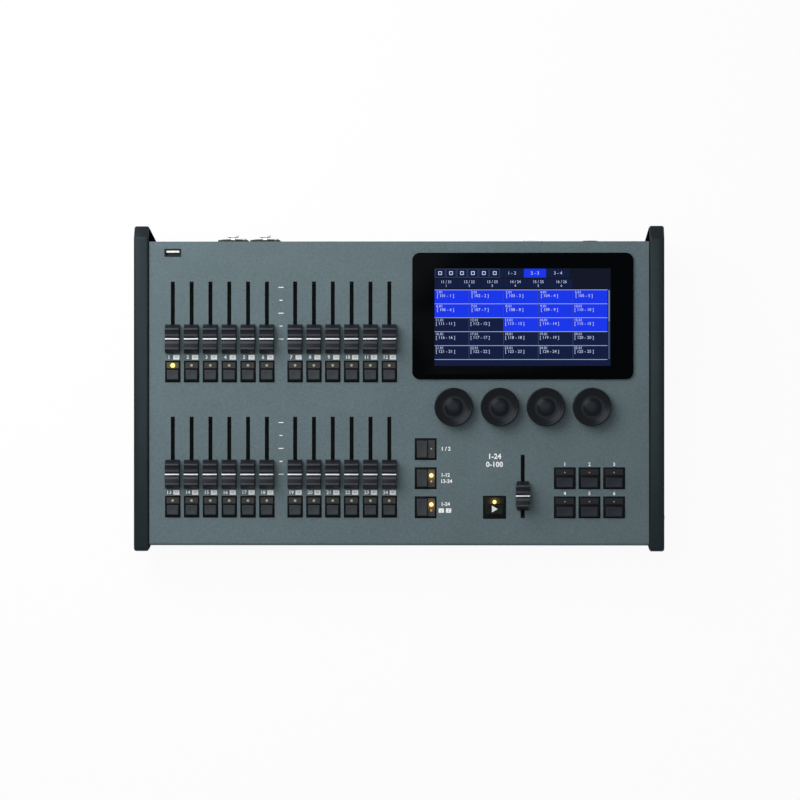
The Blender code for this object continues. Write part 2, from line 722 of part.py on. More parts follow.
def build_command_board(panel):
    """The board under the keys, the encoders and the master fader."""
    left = MODE_X - KEY_SIZE / 2 - 0.0065
    right = PANEL_WIDTH / 2 - 0.009

    def plate(bm):
        box(bm, (left + right) / 2, (COMMAND_BOARD_FRONT + COMMAND_BOARD_REAR) / 2, right - left,
            COMMAND_BOARD_REAR - COMMAND_BOARD_FRONT, BOARD_TOP - BOARD_THICKNESS, BOARD_TOP)

    def blocks(bm):
        pot_block(bm, MASTER_X, MASTER_Y)
        for _, x, y, _, _ in square_keys():
            switch_block(bm, x, y, STEM_WIDTH + 0.004)
        for y in (COMMAND_BOARD_FRONT + POST_WIDTH, COMMAND_BOARD_REAR - POST_WIDTH):
            for x in (left + POST_WIDTH, SCREEN_X, right - POST_WIDTH):
                post(bm, x, y)
        bush = SHAFT_RADIUS + GAP + BUSH_WALL
        low = BOARD_TOP - BOARD_THICKNESS / 2
        for index in range(4):
            x = encoder_x(index)
            turned(bm, [(0.0, low), (0.008, low), (0.008, BOARD_TOP + 0.0075), (bush, BOARD_TOP + 0.0075),
                        (bush, 0.0004), (0.0, 0.0004)], x, ENCODER_Y, 12)

    def wells(bm):
        pot_channel(bm, MASTER_X, MASTER_Y)
        for _, x, y, _, _ in square_keys():
            switch_well(bm, x, y)
        for index in range(4):
            cylinder(bm, encoder_x(index), ENCODER_Y, SHAFT_RADIUS + GAP + 0.0001, POT_FLOOR, 0.002, 12)

    obj = piece("command_board", mesh_of("command_board", plate), "board", panel)
    combine(obj, helper("command_board_blocks", mesh_of("command_board_blocks", blocks), panel), "UNION")
    combine(obj, helper("command_board_wells", mesh_of("command_board_wells", wells), panel), "DIFFERENCE")


def build_main_board(world):
    """The processor board on the floor under the screen, on its four legs."""
    y = SCREEN_Y * SLOPE_COS
    low = FLOOR_TOP + MAIN_BOARD_LIFT
    high = low + BOARD_THICKNESS

    def plate(bm):
        box(bm, 0, 0, MAIN_BOARD_WIDTH, MAIN_BOARD_LENGTH, low, high)

    def parts(bm):
        inside = low + BOARD_THICKNESS / 2
        for side in (-1, 1):
            for end in (-1, 1):
                box(bm, side * (MAIN_BOARD_WIDTH / 2 - BOARD_LEG_INSET), end * (MAIN_BOARD_LENGTH / 2 - BOARD_LEG_INSET),
                    BOARD_LEG_WIDTH, BOARD_LEG_WIDTH, FLOOR_TOP + GAP, inside)
        box(bm, 0.0, PROCESSOR_SHIFT, PROCESSOR_SIZE, PROCESSOR_SIZE, inside, high + PROCESSOR_HEIGHT)
        box(bm, -MEMORY_LEFT, -MEMORY_FRONT, MEMORY_SIZE, MEMORY_SIZE, inside, high + MEMORY_HEIGHT)
        box(bm, HEADER_RIGHT, HEADER_REAR, HEADER_LENGTH, HEADER_WIDTH, inside, high + HEADER_HEIGHT)

    obj = piece("main_board", mesh_of("main_board", plate), "board", world, (SCREEN_X, y, 0.0))
    other = helper("main_board_parts", mesh_of("main_board_parts", parts), world)
    other.location = (SCREEN_X, y, 0.0)
    combine(obj, other, "UNION")


def fader_mesh():
    """The cap, its lever and its carriage as one running piece, centred on its lever."""
    end = CAP_LENGTH / 2
    top = CAP_LIFT + CAP_HEIGHT
    outline = [(-end, CAP_LIFT), (end, CAP_LIFT), (end, CAP_LIFT + 0.002), (end - 0.0036, top), (end - 0.0052, top),
               (end * 0.3, top - 0.0019), (0.0, top - 0.0024), (-end * 0.3, top - 0.0019), (-end + 0.0052, top),
               (-end + 0.0036, top), (-end, CAP_LIFT + 0.002)]

    def half_width(z):
        return CAP_WIDTH / 2 - 0.0004 * (z - CAP_LIFT) / CAP_HEIGHT

    def cap(bm):
        loft(bm, [[(-half_width(z), y, z) for y, z in outline], [(half_width(z), y, z) for y, z in outline]])

    def lever(bm):
        carriage_top = POT_TOP - 0.0035
        loft(bm, [rectangle(0, 0, CARRIAGE_WIDTH, CARRIAGE_LENGTH, POT_FLOOR + 0.0005),
                  rectangle(0, 0, CARRIAGE_WIDTH, CARRIAGE_LENGTH, carriage_top),
                  rectangle(0, 0, LEVER_WIDTH, LEVER_LENGTH, carriage_top),
                  rectangle(0, 0, LEVER_WIDTH, LEVER_LENGTH, CAP_LIFT + 0.004)])

    return joined_mesh("fader", [cap, lever])


def build_faders(panel):
    """The 24 channel faders at the bottom of their travel, and the master part-way up."""
    mesh = fader_mesh()
    for number in range(24):
        row = 1 if number < 12 else 0
        at = (fader_x(number % 12), slot_y(row) - TRAVEL / 2, 0.0)
        piece(f"fader_{number + 1:02d}", mesh, "cap_plastic", panel, at)
    piece("master_fader", mesh, "cap_plastic", panel, (MASTER_X, MASTER_Y - TRAVEL / 2 + MASTER_REST, 0.0))


def key_rings(x, y, width, length, lamp, stem_top, flange):
    """The rings of one key: stem, flange when it has one, body, lamp shelf and raised pad."""
    body_w = width - 2 * KEY_GAP
    body_l = length - 2 * KEY_GAP
    stem_low = HOUSING_TOP - 0.002
    rings = [rectangle(x, y, STEM_WIDTH, STEM_WIDTH, stem_low), rectangle(x, y, STEM_WIDTH, STEM_WIDTH, stem_top)]
    if flange:
        rings.append(rectangle(x, y, width + 2 * KEY_FLANGE, length + 2 * KEY_FLANGE, stem_top))
        rings.append(rectangle(x, y, width + 2 * KEY_FLANGE, length + 2 * KEY_FLANGE, UNDERSIDE))
        rings.append(rectangle(x, y, body_w, body_l, UNDERSIDE))
    else:
        rings.append(rectangle(x, y, body_w, body_l, stem_top))
    rings.append(rectangle(x, y, body_w, body_l, KEY_SHELF))
    if lamp == "right":
        pad_x = x - width * 0.19
        pad_y = y
        pad_w = width * 0.52
        pad_l = length * 0.86
    else:
        pad_x = x
        pad_y = y - length * 0.17
        pad_w = width * 0.86
        pad_l = length * 0.54
    rings.append(rectangle(pad_x, pad_y, pad_w, pad_l, KEY_SHELF))
    rings.append(rectangle(pad_x, pad_y, pad_w - 0.0008, pad_l - 0.0008, KEY_SHELF + PAD_HEIGHT))
    return rings


def build_keys(panel):
    """The single keys and the four flash key mats of six."""
    for name, x, y, size, lamp in square_keys():
        rings = key_rings(0, 0, size, size, lamp, KEY_STOP, True)
        piece(name, mesh_of(name, lambda bm: loft(bm, rings)), "key_plastic", panel, (x, y, 0.0))

    web_width = 5 * FADER_PITCH + FLASH_WIDTH + 2 * KEY_FLANGE

    def web(bm):
        box(bm, 2.5 * FADER_PITCH, 0, web_width, FLASH_LENGTH + 2 * KEY_FLANGE, KEY_STOP, UNDERSIDE)

    def keys(bm):
        for column in range(6):
            loft(bm, key_rings(column * FADER_PITCH, 0, FLASH_WIDTH, FLASH_LENGTH, "rear", KEY_STOP + 0.0005, False))

    mesh = joined_mesh("flash_mat", [web, keys])
    for row in range(2):
        for bank in range(2):
            first = (1 - row) * 12 + bank * 6 + 1
            piece(f"flash_keys_{first:02d}_{first + 5:02d}", mesh, "key_plastic", panel,
                  (fader_x(bank * 6), flash_y(row), 0.0))


def build_encoders(panel):
    """The four encoder wheels on their shafts."""
    radius = ENCODER_DIAMETER / 2
    low = ENCODER_LIFT
    top = ENCODER_LIFT + ENCODER_HEIGHT
    profile = [(0.0, POT_FLOOR + 0.002), (SHAFT_RADIUS, POT_FLOOR + 0.002), (SHAFT_RADIUS, low), (radius, low),
               (radius, top - 0.0008), (radius - 0.0014, top), (radius * 0.43, top - 0.0026),
               (radius * 0.37, top - 0.0014), (0.0, top - 0.001)]
    mesh = mesh_of("encoder", lambda bm: turned(bm, profile))
    for index in range(4):
        piece(f"encoder_{index + 1}", mesh, "cap_plastic", panel, (encoder_x(index), ENCODER_Y, 0.0))


def main():
    """Clears the scene and builds every piece in its frame."""
    for obj in list(bpy.data.objects):
        bpy.data.objects.remove(obj)
    sides = [y for y, _ in cheek_outline()]
    level = frame("level_frame", None, Matrix.Translation((0.0, -(min(sides) + max(sides)) / 2, PANEL_FRONT_HEIGHT)))
    panel = frame("panel_frame", level, Matrix.Rotation(PANEL_TILT, 4, "X"))
    rear = frame("rear_frame", panel,
                 Matrix.Translation((0.0, REAR_FACE, 0.0)) @ Matrix.Rotation(-math.pi / 2, 4, "X"))
    build_top_panel(panel)
    build_base_pan(level)
    build_rear_panel(panel, rear)
    build_cheeks(level)
    build_feet(level)
    build_screen(panel)
    build_usb_socket(panel)
    build_rear_sockets(rear)
    build_fader_board(panel)
    build_command_board(panel)
    build_main_board(level)
    build_faders(panel)
    build_keys(panel)
    build_encoders(panel)


main()
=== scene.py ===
"""A stage lighting control desk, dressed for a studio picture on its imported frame.

Pieces are modelled flat in millimetres, on a panel whose front edge is y = 0 and whose top is z = 0,
and are then seated on the sloping panel of the frame.
"""

from __future__ import annotations

import logging
import math
from dataclasses import dataclass, field
from enum import Enum
from typing import Callable, Iterable, Sequence, Union

import bpy
from mathutils import Matrix, Vector


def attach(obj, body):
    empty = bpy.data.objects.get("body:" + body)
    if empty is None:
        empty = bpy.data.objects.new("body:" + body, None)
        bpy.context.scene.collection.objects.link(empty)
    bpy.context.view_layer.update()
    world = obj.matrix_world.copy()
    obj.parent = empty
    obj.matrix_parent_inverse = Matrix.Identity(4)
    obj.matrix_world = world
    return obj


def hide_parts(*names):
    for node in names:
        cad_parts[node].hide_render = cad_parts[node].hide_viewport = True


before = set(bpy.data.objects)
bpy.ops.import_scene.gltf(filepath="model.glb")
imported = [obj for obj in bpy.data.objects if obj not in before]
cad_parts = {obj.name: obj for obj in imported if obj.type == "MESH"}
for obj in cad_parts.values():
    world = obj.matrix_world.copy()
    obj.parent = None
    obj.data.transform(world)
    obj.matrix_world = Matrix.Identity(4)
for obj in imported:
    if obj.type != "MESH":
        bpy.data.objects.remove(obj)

LOG = logging.getLogger("lighting_desk")
ROOT_BODY = "desk"
MILLIMETRE = 0.001

Colour = tuple[float, float, float]
Point = tuple[float, float]
Piece = bpy.types.Object
FaceTest = Callable[[Vector, Vector], bool]

WHITE: Colour = (1.0, 1.0, 1.0)
BLACK: Colour = (0.0, 0.0, 0.0)
COOL: Colour = (0.8, 0.88, 1.0)
MIDDLE: Point = (0.0, 0.0)

# Ink and thin frames start this far over the panel, so that no two faces share a plane.
FILM_LOW = 0.005


def linear(red: float, green: float, blue: float) -> Colour:
    """Turns screen values into the linear colour that shading uses.

    Args:
        red: Red from 0 to 255.
        green: Green from 0 to 255.
        blue: Blue from 0 to 255.

    Returns:
        The linear colour.
    """

    def one(value: float) -> float:
        """Turns one screen value into a linear one.

        Args:
            value: The value from 0 to 255.

        Returns:
            The linear value from 0 to 1.
        """
        share = value / 255.0
        return share / 12.92 if share <= 0.04045 else ((share + 0.055) / 1.055) ** 2.4

    return one(red), one(green), one(blue)


class Shade:
    """One output of a material's node graph, which can be used in sums."""

    def __init__(self, graph: Graph, socket: bpy.types.NodeSocket) -> None:
        """Wraps a socket.

        Args:
            graph: The graph that holds the socket.
            socket: The output socket.
        """
        self.graph = graph
        self.socket = socket

    def _maths(self, operation: str, first: Term, second: Term) -> Shade:
        """Makes a Math node.

        Args:
            operation: The name of the Math node's operation.
            first: The first value.
            second: The second value.

        Returns:
            The result.
        """
        return self.graph.node("ShaderNodeMath", {"operation": operation}, {0: first, 1: second})

    def __add__(self, other: Term) -> Shade:
        """Adds a value."""
        return self._maths("ADD", self, other)

    def __radd__(self, other: Term) -> Shade:
        """Adds this to a value."""
        return self._maths("ADD", other, self)

    def __mul__(self, other: Term) -> Shade:
        """Multiplies by a value."""
        return self._maths("MULTIPLY", self, other)

    def __rmul__(self, other: Term) -> Shade:
        """Multiplies a value by this."""
        return self._maths("MULTIPLY", other, self)


Term = Union[Shade, float]
Input = Union[Shade, float, Sequence[float]]
Owner = Union[bpy.types.Material, bpy.types.World]


class Graph:
    """The node graph of one new material, or of the world."""

    def __init__(self, owner: Owner) -> None:
        """Empties the owner's graph.

        Args:
            owner: The material or the world.
        """
        self.owner = owner
        owner.use_nodes = True
        self.tree = owner.node_tree
        self.tree.nodes.clear()

    def node(
        self,
        kind: str,
        settings: dict[str, object] | None = None,
        inputs: dict[int | str, Input] | None = None,
        output: int | str = 0,
    ) -> Shade:
        """Makes any node.

        Args:
            kind: The node's type name.
            settings: Properties of the node, by name.
            inputs: Values or shades for its inputs, by place or name.
            output: The output to return, by place or name.

        Returns:
            The chosen output.
        """
        made = self.tree.nodes.new(kind)
        for key, value in (settings or {}).items():
            setattr(made, key, value)
        for key, value in (inputs or {}).items():
            if isinstance(value, Shade):
                self.tree.links.new(value.socket, made.inputs[key])
            else:
                made.inputs[key].default_value = value
        return Shade(self, made.outputs[output])

    def place(self) -> Shade:
        """Gives the object coordinates.

        Returns:
            The coordinates in metres.
        """
        return self.node("ShaderNodeTexCoord", output="Object")

    def noise(self, scale: float, detail: float = 3.0, stretch: Sequence[float] | None = None) -> Shade:
        """Makes a noise over the object.

        Args:
            scale: Spots per metre.
            detail: Octaves of the noise.
            stretch: Factors on the coordinates, for a grain with a direction.

        Returns:
            The noise from 0 to 1.
        """
        where = self.place()
        if stretch is not None:
            factors = {0: where, 1: tuple(stretch)}
            where = self.node("ShaderNodeVectorMath", {"operation": "MULTIPLY"}, factors)
        return self.node("ShaderNodeTexNoise", None, {"Vector": where, "Scale": scale, "Detail": detail})

    def mixed(self, share: Term, first: Input, second: Input, blend: str = "MIX") -> Shade:
        """Mixes two colours.

        Args:
            share: The share of the second colour.
            first: The first colour, as a shade or four numbers.
            second: The second colour, as a shade or four numbers.
            blend: The name of the way they are mixed.

        Returns:
            The mixed colour.
        """
        # A Mix node has its colours at inputs 6 and 7 and at output 2.
        settings = {"data_type": "RGBA", "blend_type": blend}
        return self.node("ShaderNodeMix", settings, {0: share, 6: first, 7: second}, 2)

    def bumped(self, height: Shade, depth: float) -> Shade:
        """Makes a normal from a height.

        Args:
            height: The height from 0 to 1.
            depth: The relief in metres at a height of 1.

        Returns:
            The normal.
        """
        return self.node("ShaderNodeBump", None, {"Height": height, "Distance": depth, "Strength": 1.0})

    def shown(self) -> Shade:
        """Finds the rays that show the background, which are the camera's and those of gloss and glass.

        Returns:
            One or more on such a ray, else zero.
        """
        rays = ("Is Camera Ray", "Is Glossy Ray", "Is Transmission Ray")
        camera, gloss, glass = (self.node("ShaderNodeLightPath", output=ray) for ray in rays)
        return camera + gloss + glass

    def surface(self, **inputs: Input) -> Owner:
        """Ends the graph in a Principled surface.

        Args:
            **inputs: Inputs by name, with an underscore for each space.

        Returns:
            The finished material.
        """
        named = {key.replace("_", " "): value for key, value in inputs.items()}
        shader = self.node("ShaderNodeBsdfPrincipled", None, named)
        return self.ended(shader)

    def ended(self, shader: Shade) -> Owner:
        """Joins a shader to the graph's output.

        Args:
            shader: The shader.

        Returns:
            The finished material or world.
        """
        is_world = isinstance(self.owner, bpy.types.World)
        end = self.tree.nodes.new("ShaderNodeOutputWorld" if is_world else "ShaderNodeOutputMaterial")
        self.tree.links.new(shader.socket, end.inputs["Surface"])
        return self.owner


def opaque(colour: Colour, factor: float = 1.0) -> tuple[float, float, float, float]:
    """Gives a colour its fourth number.

    Args:
        colour: The linear colour.
        factor: A factor on its brightness.

    Returns:
        Red, green, blue and an alpha of one.
    """
    return tuple(min(1.0, part * factor) for part in colour) + (1.0,)


@dataclass(frozen=True)
class Finish:
    """A plain finish with fine grain, soft cloudiness and uneven gloss.

    Attributes:
        name: The material's name.
        slot: The record's material slot. It is not used.
        colour: Linear colour.
        roughness: Middle roughness.
        grain: Grains per metre.
        relief: Depth of the grain in metres.
        drift: How far the colour varies, as a share.
        specular: Strength of the reflection.
        metallic: One for bare metal.
        tone: Colour of the reflection.
        clouds: Clouds in the colour per metre.
        cloud_share: Share of the clouds in the colour's drift, with the grain in the rest.
        patches: Patches of uneven gloss per metre.
        spread: How far the roughness varies.
    """

    name: str
    slot: str
    colour: Colour
    roughness: float = 0.5
    grain: float = 1800.0
    relief: float = 0.00003
    drift: float = 0.08
    specular: float = 0.4
    metallic: float = 0.0
    tone: Colour = WHITE
    clouds: float = 35.0
    cloud_share: float = 0.6
    patches: float = 60.0
    spread: float = 0.12

    def mottle(self, graph: Graph) -> Shade:
        """Makes the pattern that the colour drifts with.

        Args:
            graph: The material's graph.

        Returns:
            The pattern from 0 to 1.
        """
        soft = graph.noise(self.clouds, 4.0) * self.cloud_share
        return soft + graph.noise(self.grain, 2.0) * (1.0 - self.cloud_share)

    def base(self, graph: Graph) -> Shade:
        """Makes the varied base colour.

        Args:
            graph: The material's graph.

        Returns:
            The colour.
        """
        deep = opaque(self.colour, 1.0 - self.drift)
        pale = opaque(self.colour, 1.0 + self.drift)
        return graph.mixed(self.mottle(graph), deep, pale)

    def patterns(self, graph: Graph) -> tuple[Shade, Shade]:
        """Makes the patterns of the gloss and of the relief.

        Args:
            graph: The material's graph.

        Returns:
            Both patterns, from 0 to 1.
        """
        return graph.noise(self.patches), graph.noise(self.grain, 2.0)

    def light(self, graph: Graph) -> dict[str, Input]:
        """Gives the inputs of a surface that gives light, which a plain one doesn't."""
        return {}

    def build(self) -> bpy.types.Material:
        """Makes the material.

        Returns:
            The material.
        """
        graph = Graph(bpy.data.materials.new(self.name))
        gloss, grain = self.patterns(graph)
        return graph.surface(
            Base_Color=self.base(graph),
            Roughness=gloss * self.spread + (self.roughness - self.spread / 2.0),
            Metallic=self.metallic,
            Specular_IOR_Level=self.specular,
            Specular_Tint=opaque(self.tone),
            Normal=graph.bumped(grain, self.relief),
            **self.light(graph),
        )


@dataclass(frozen=True)
class PowderFinish(Finish):
    """A textured powder coat, with specks a little over a millimetre across.

    Attributes:
        clouds: Clouds in the colour per metre.
        cloud_share: Share of the clouds in the colour's drift.
        specks: Specks per metre.
        speck_share: Share of the specks in the colour's drift, with the grain in the rest.
        contrast: The two values of the pattern that become 0 and 1.
    """

    clouds: float = 24.0
    cloud_share: float = 0.25
    specks: float = 620.0
    speck_share: float = 0.55
    contrast: Point = (0.34, 0.66)

    def mottle(self, graph: Graph) -> Shade:
        """Makes the speckled pattern that the colour drifts with.

        Args:
            graph: The material's graph.

        Returns:
            The pattern from 0 to 1.
        """
        coarse = graph.noise(self.specks, 2.0) * self.speck_share
        soft = graph.noise(self.clouds, 4.0) * self.cloud_share
        fine = graph.noise(self.grain, 2.0) * (1.0 - self.speck_share - self.cloud_share)
        low, high = self.contrast
        ends = {"Value": coarse + soft + fine, "From Min": low, "From Max": high}
        return graph.node("ShaderNodeMapRange", None, ends)


@dataclass(frozen=True)
class TintedFinish(Finish):
    """A moulded finish whose colour and light come from the piece's own attributes.

    Attributes:
        colour: A factor on the piece's tint.
        clouds: Clouds in the colour per metre.
    """

    colour: Colour = WHITE
    clouds: float = 45.0

    def base(self, graph: Graph) -> Shade:
        """Varies the piece's tint.

        Args:
            graph: The material's graph.

        Returns:
            The colour.
        """
        tint = graph.node("ShaderNodeAttribute", {"attribute_name": "tint"}, output="Color")
        return graph.mixed(1.0, tint, super().base(graph), "MULTIPLY")

    def light(self, graph: Graph) -> dict[str, Input]:
        """Gives the inputs of a surface with the piece's glow.

        Args:
            graph: The material's graph.

        Returns:
            The inputs by name.
        """
        glow = graph.node("ShaderNodeAttribute", {"attribute_name": "glow"}, output="Color")
        return {"Emission_Color": glow, "Emission_Strength": 1.0}


@dataclass(frozen=True)
class BrushedFinish(Finish):
    """Bare metal with a grain along one direction.

    Attributes:
        specular: Strength of the reflection.
        metallic: One for bare metal.
        spread: How far the roughness varies.
        stretch: Factors on the coordinates, small along the grain.
    """

    specular: float = 0.5
    metallic: float = 1.0
    spread: float = 0.2
    stretch: tuple[float, float, float] = (0.04, 1.0, 1.0)

    def patterns(self, graph: Graph) -> tuple[Shade, Shade]:
        """Makes the brushed lines, for the gloss and for the relief.

        Args:
            graph: The material's graph.

        Returns:
            The lines twice, from 0 to 1.
        """
        lines = graph.noise(self.grain, 2.0, self.stretch)
        return lines, lines


class Finishes(Enum):
    """The finishes of the desk."""

    PANEL = PowderFinish(
        "panel_paint", "panel_paint", linear(94, 110, 115),
        roughness=0.5, grain=2600.0, relief=0.00006, drift=0.16, specular=0.1,
    )
    CASE = PowderFinish(
        "case_paint", "case_paint", linear(40, 47, 52),
        roughness=0.5, grain=2600.0, relief=0.00005, drift=0.1, specular=0.2,
    )
    CHEEK = Finish(
        "cheek_plastic", "cheek_plastic", linear(25, 31, 36), tone=(0.72, 0.95, 1.0),
        roughness=0.24, grain=1500.0, relief=0.00002, drift=0.15, specular=0.13,
    )
    CAP = TintedFinish(
        "cap_plastic", "cap_plastic", tone=COOL,
        roughness=0.45, grain=2200.0, relief=0.00002, drift=0.15, specular=0.1,
    )
    WHEEL = TintedFinish(
        "wheel_plastic", "cap_plastic", tone=COOL,
        roughness=0.34, grain=2200.0, relief=0.00001, drift=0.12, specular=0.14,
    )
    KEY = TintedFinish(
        "key_plastic", "key_plastic",
        roughness=0.5, grain=2600.0, relief=0.00003, drift=0.12, specular=0.07,
    )
    GLASS = Finish(
        "glass_black", "glass", linear(2, 4, 6),
        roughness=0.12, grain=300.0, relief=0.000001, drift=0.15, specular=0.01,
    )
    PAGE = TintedFinish(
        "display_page", "display",
        roughness=0.2, grain=900.0, relief=0.000002, drift=0.06, specular=0.01,
    )
    INK = TintedFinish(
        "white_ink", "panel_paint",
        roughness=0.55, grain=5200.0, relief=0.00001, drift=0.06, specular=0.1,
    )
    SOCKET = Finish(
        "socket_black", "socket_black", linear(15, 16, 18),
        roughness=0.45, grain=2200.0, relief=0.00003, drift=0.12, specular=0.2,
    )
    # Matt black for the slot liners and key frames, which are partly painted shade, and for the cheeks'
    # sheets of painted shade.
    LINER = Finish(
        "liner_and_shade_black", "socket_black", linear(6, 7, 8),
        roughness=0.7, grain=2200.0, relief=0.00003, drift=0.12, specular=0.0,
    )
    SHELL = BrushedFinish(
        "shell_dark", "socket_metal", linear(36, 38, 41),
        roughness=0.4, grain=1400.0, relief=0.00001, drift=0.12,
    )
    METAL = BrushedFinish(
        "socket_metal", "socket_metal", linear(176, 178, 180),
        roughness=0.34, grain=900.0, relief=0.00001, drift=0.1,
    )
    GOLD = BrushedFinish(
        "contact_gold", "socket_metal", linear(196, 160, 92),
        roughness=0.3, grain=900.0, relief=0.00001, drift=0.1,
    )
    SCREW = BrushedFinish(
        "screw_black", "socket_metal", linear(58, 60, 63),
        roughness=0.36, grain=1400.0, relief=0.00001, drift=0.15,
    )
    RUBBER = Finish(
        "foot_rubber", "rubber", linear(26, 26, 27),
        roughness=0.8, grain=1200.0, relief=0.00008, drift=0.15, specular=0.1,
    )
    BOARD = Finish(
        "board_black", "board", linear(16, 20, 19),
        roughness=0.5, grain=700.0, relief=0.00004, drift=0.25, specular=0.2,
    )


class FinishShelf:
    """Makes each material once and hands it out."""

    def __init__(self) -> None:
        """Starts empty."""
        self._made: dict[Finishes, bpy.types.Material] = {}

    def give(self, piece: Piece, finish: Finishes) -> Piece:
        """Puts a finish on a piece.

        Args:
            piece: The piece.
            finish: The finish.

        Returns:
            The same piece.
        """
        if finish not in self._made:
            self._made[finish] = finish.value.build()
        piece.data.materials.clear()
        piece.data.materials.append(self._made[finish])
        return piece


def faces_up(middle: Vector, normal: Vector) -> bool:
    """Finds the faces that look up.

    Args:
        middle: A face's middle, which makes no difference.
        normal: Its normal.

    Returns:
        True for a face that looks up.
    """
    return normal.z > 0.9


class Bench:
    """Models pieces with Blender's operators, in millimetres."""

    def fresh(self) -> None:
        """Leaves edit mode and deselects everything."""
        if bpy.context.mode != "OBJECT":
            bpy.ops.object.mode_set(mode="OBJECT")
        bpy.ops.object.select_all(action="DESELECT")

    def hold(self, piece: Piece) -> None:
        """Makes a piece the only one selected.

        Args:
            piece: The piece.
        """
        self.fresh()
        piece.select_set(True)
        bpy.context.view_layer.objects.active = piece

    def block(self, width: float, length: float, low: float, high: float, at: Point = MIDDLE) -> Piece:
        """Adds a block.

        Args:
            width: Size along x.
            length: Size along y.
            low: Height of its underside.
            high: Height of its top.
            at: Its middle in the plane.

        Returns:
            The block.
        """
        self.fresh()
        bpy.ops.mesh.primitive_cube_add(
            size=1.0, location=(at[0], at[1], (low + high) / 2.0), scale=(width, length, high - low)
        )
        bpy.ops.object.transform_apply(location=True, rotation=False, scale=True)
        return bpy.context.object

    def disc(self, radius: float, low: float, high: float, at: Point = MIDDLE, sides: int = 32) -> Piece:
        """Adds a short cylinder.

        Args:
            radius: Its radius.
            low: Height of its underside.
            high: Height of its top.
            at: Its middle in the plane.
            sides: Corners of its outline.

        Returns:
            The cylinder.
        """
        self.fresh()
        bpy.ops.mesh.primitive_cylinder_add(
            vertices=sides, radius=radius, depth=high - low, location=(at[0], at[1], (low + high) / 2.0)
        )
        bpy.ops.object.transform_apply(location=True, rotation=False, scale=False)
        return bpy.context.object

    def outline(self, points: Sequence[Sequence[float]], filled: bool) -> Piece:
        """Adds a circle and sets its corners along an outline.

        Args:
            points: The corners in space.
            filled: Whether the outline is a face.

        Returns:
            The outline.
        """
        self.fresh()
        bpy.ops.mesh.primitive_circle_add(vertices=len(points), fill_type="NGON" if filled else "NOTHING")
        made = bpy.context.object
        for vertex, point in zip(made.data.vertices, points):
            vertex.co = point
        return made

    def drawn_out(self, points: Sequence[Sequence[float]], offset: Sequence[float]) -> Piece:
        """Extrudes an outline into a closed solid.

        Args:
            points: The corners in space.
            offset: How far and where to.

        Returns:
            The solid.
        """
        made = self.outline(points, True)
        self.hold(made)
        bpy.ops.object.mode_set(mode="EDIT")
        bpy.ops.mesh.select_all(action="SELECT")
        bpy.ops.mesh.extrude_region_move(TRANSFORM_OT_translate={"value": tuple(offset)})
        bpy.ops.mesh.select_all(action="SELECT")
        bpy.ops.mesh.normals_make_consistent(inside=False)
        bpy.ops.object.mode_set(mode="OBJECT")
        return made

    def turned(self, points: Sequence[Point], steps: int = 48) -> Piece:
        """Spins an open outline about the upright axis.

        Args:
            points: Radius and height of each corner, from axis to axis.
            steps: Steps of the turn.

        Returns:
            The turned solid.
        """
        made = self.outline([(radius, 0.0, height) for radius, height in points], False)
        last = len(points) - 1
        for edge in made.data.edges:
            edge.select = set(edge.vertices) == {0, last}
        for vertex in made.data.vertices:
            vertex.select = False
        self.hold(made)
        bpy.context.tool_settings.mesh_select_mode = (False, True, False)
        bpy.ops.object.mode_set(mode="EDIT")
        bpy.ops.mesh.delete(type="EDGE")
        bpy.ops.mesh.select_all(action="SELECT")
        bpy.ops.mesh.spin(steps=steps, angle=2.0 * math.pi, center=(0.0, 0.0, 0.0), axis=(0.0, 0.0, 1.0))
        bpy.ops.mesh.select_all(action="SELECT")
        bpy.ops.mesh.remove_doubles(threshold=0.0005)
        bpy.ops.mesh.normals_make_consistent(inside=False)
        bpy.ops.object.mode_set(mode="OBJECT")
        return made

    def pick(self, piece: Piece, test: FaceTest) -> None:
        """Selects faces by their place and direction, and enters edit mode.

        Args:
            piece: The piece.
            test: Says whether a face with this middle and normal is wanted.
        """
        self.hold(piece)
        bpy.context.tool_settings.mesh_select_mode = (False, False, True)
        for vertex in piece.data.vertices:
            vertex.select = False
        for edge in piece.data.edges:
            edge.select = False
        for polygon in piece.data.polygons:
            polygon.select = test(polygon.center, polygon.normal)
        bpy.ops.object.mode_set(mode="EDIT")

    def inset(self, piece: Piece, test: FaceTest, thickness: float, depth: float) -> Piece:
        """Insets faces and moves them in or out.

        Args:
            piece: The piece.
            test: Which faces.
            thickness: Width of the new border.
            depth: Move along the normal, outwards if above zero.

        Returns:
            The same piece.
        """
        self.pick(piece, test)
        bpy.ops.mesh.inset(thickness=thickness, depth=depth)
        bpy.ops.object.mode_set(mode="OBJECT")
        return piece

    def mouth(self, piece: Piece, at: Point, rim: float, depth: float) -> Piece:
        """Opens a mouth in the top of a block.

        Args:
            piece: The block.
            at: Its middle in the plane.
            rim: Width of the rim round the mouth.
            depth: Depth of the mouth.

        Returns:
            The same piece.
        """

        def inside(middle: Vector, normal: Vector) -> bool:
            """Finds the face inside the rim.

            Args:
                middle: A face's middle.
                normal: Its normal.

            Returns:
                True inside the rim.
            """
            near = abs(middle.x - at[0]) < 0.2 and abs(middle.y - at[1]) < 0.2
            return near and faces_up(middle, normal)

        self.inset(piece, faces_up, rim, 0.0)
        self.pick(piece, inside)
        bpy.ops.mesh.extrude_region_move(TRANSFORM_OT_translate={"value": (0.0, 0.0, -depth)})
        bpy.ops.object.mode_set(mode="OBJECT")
        return piece

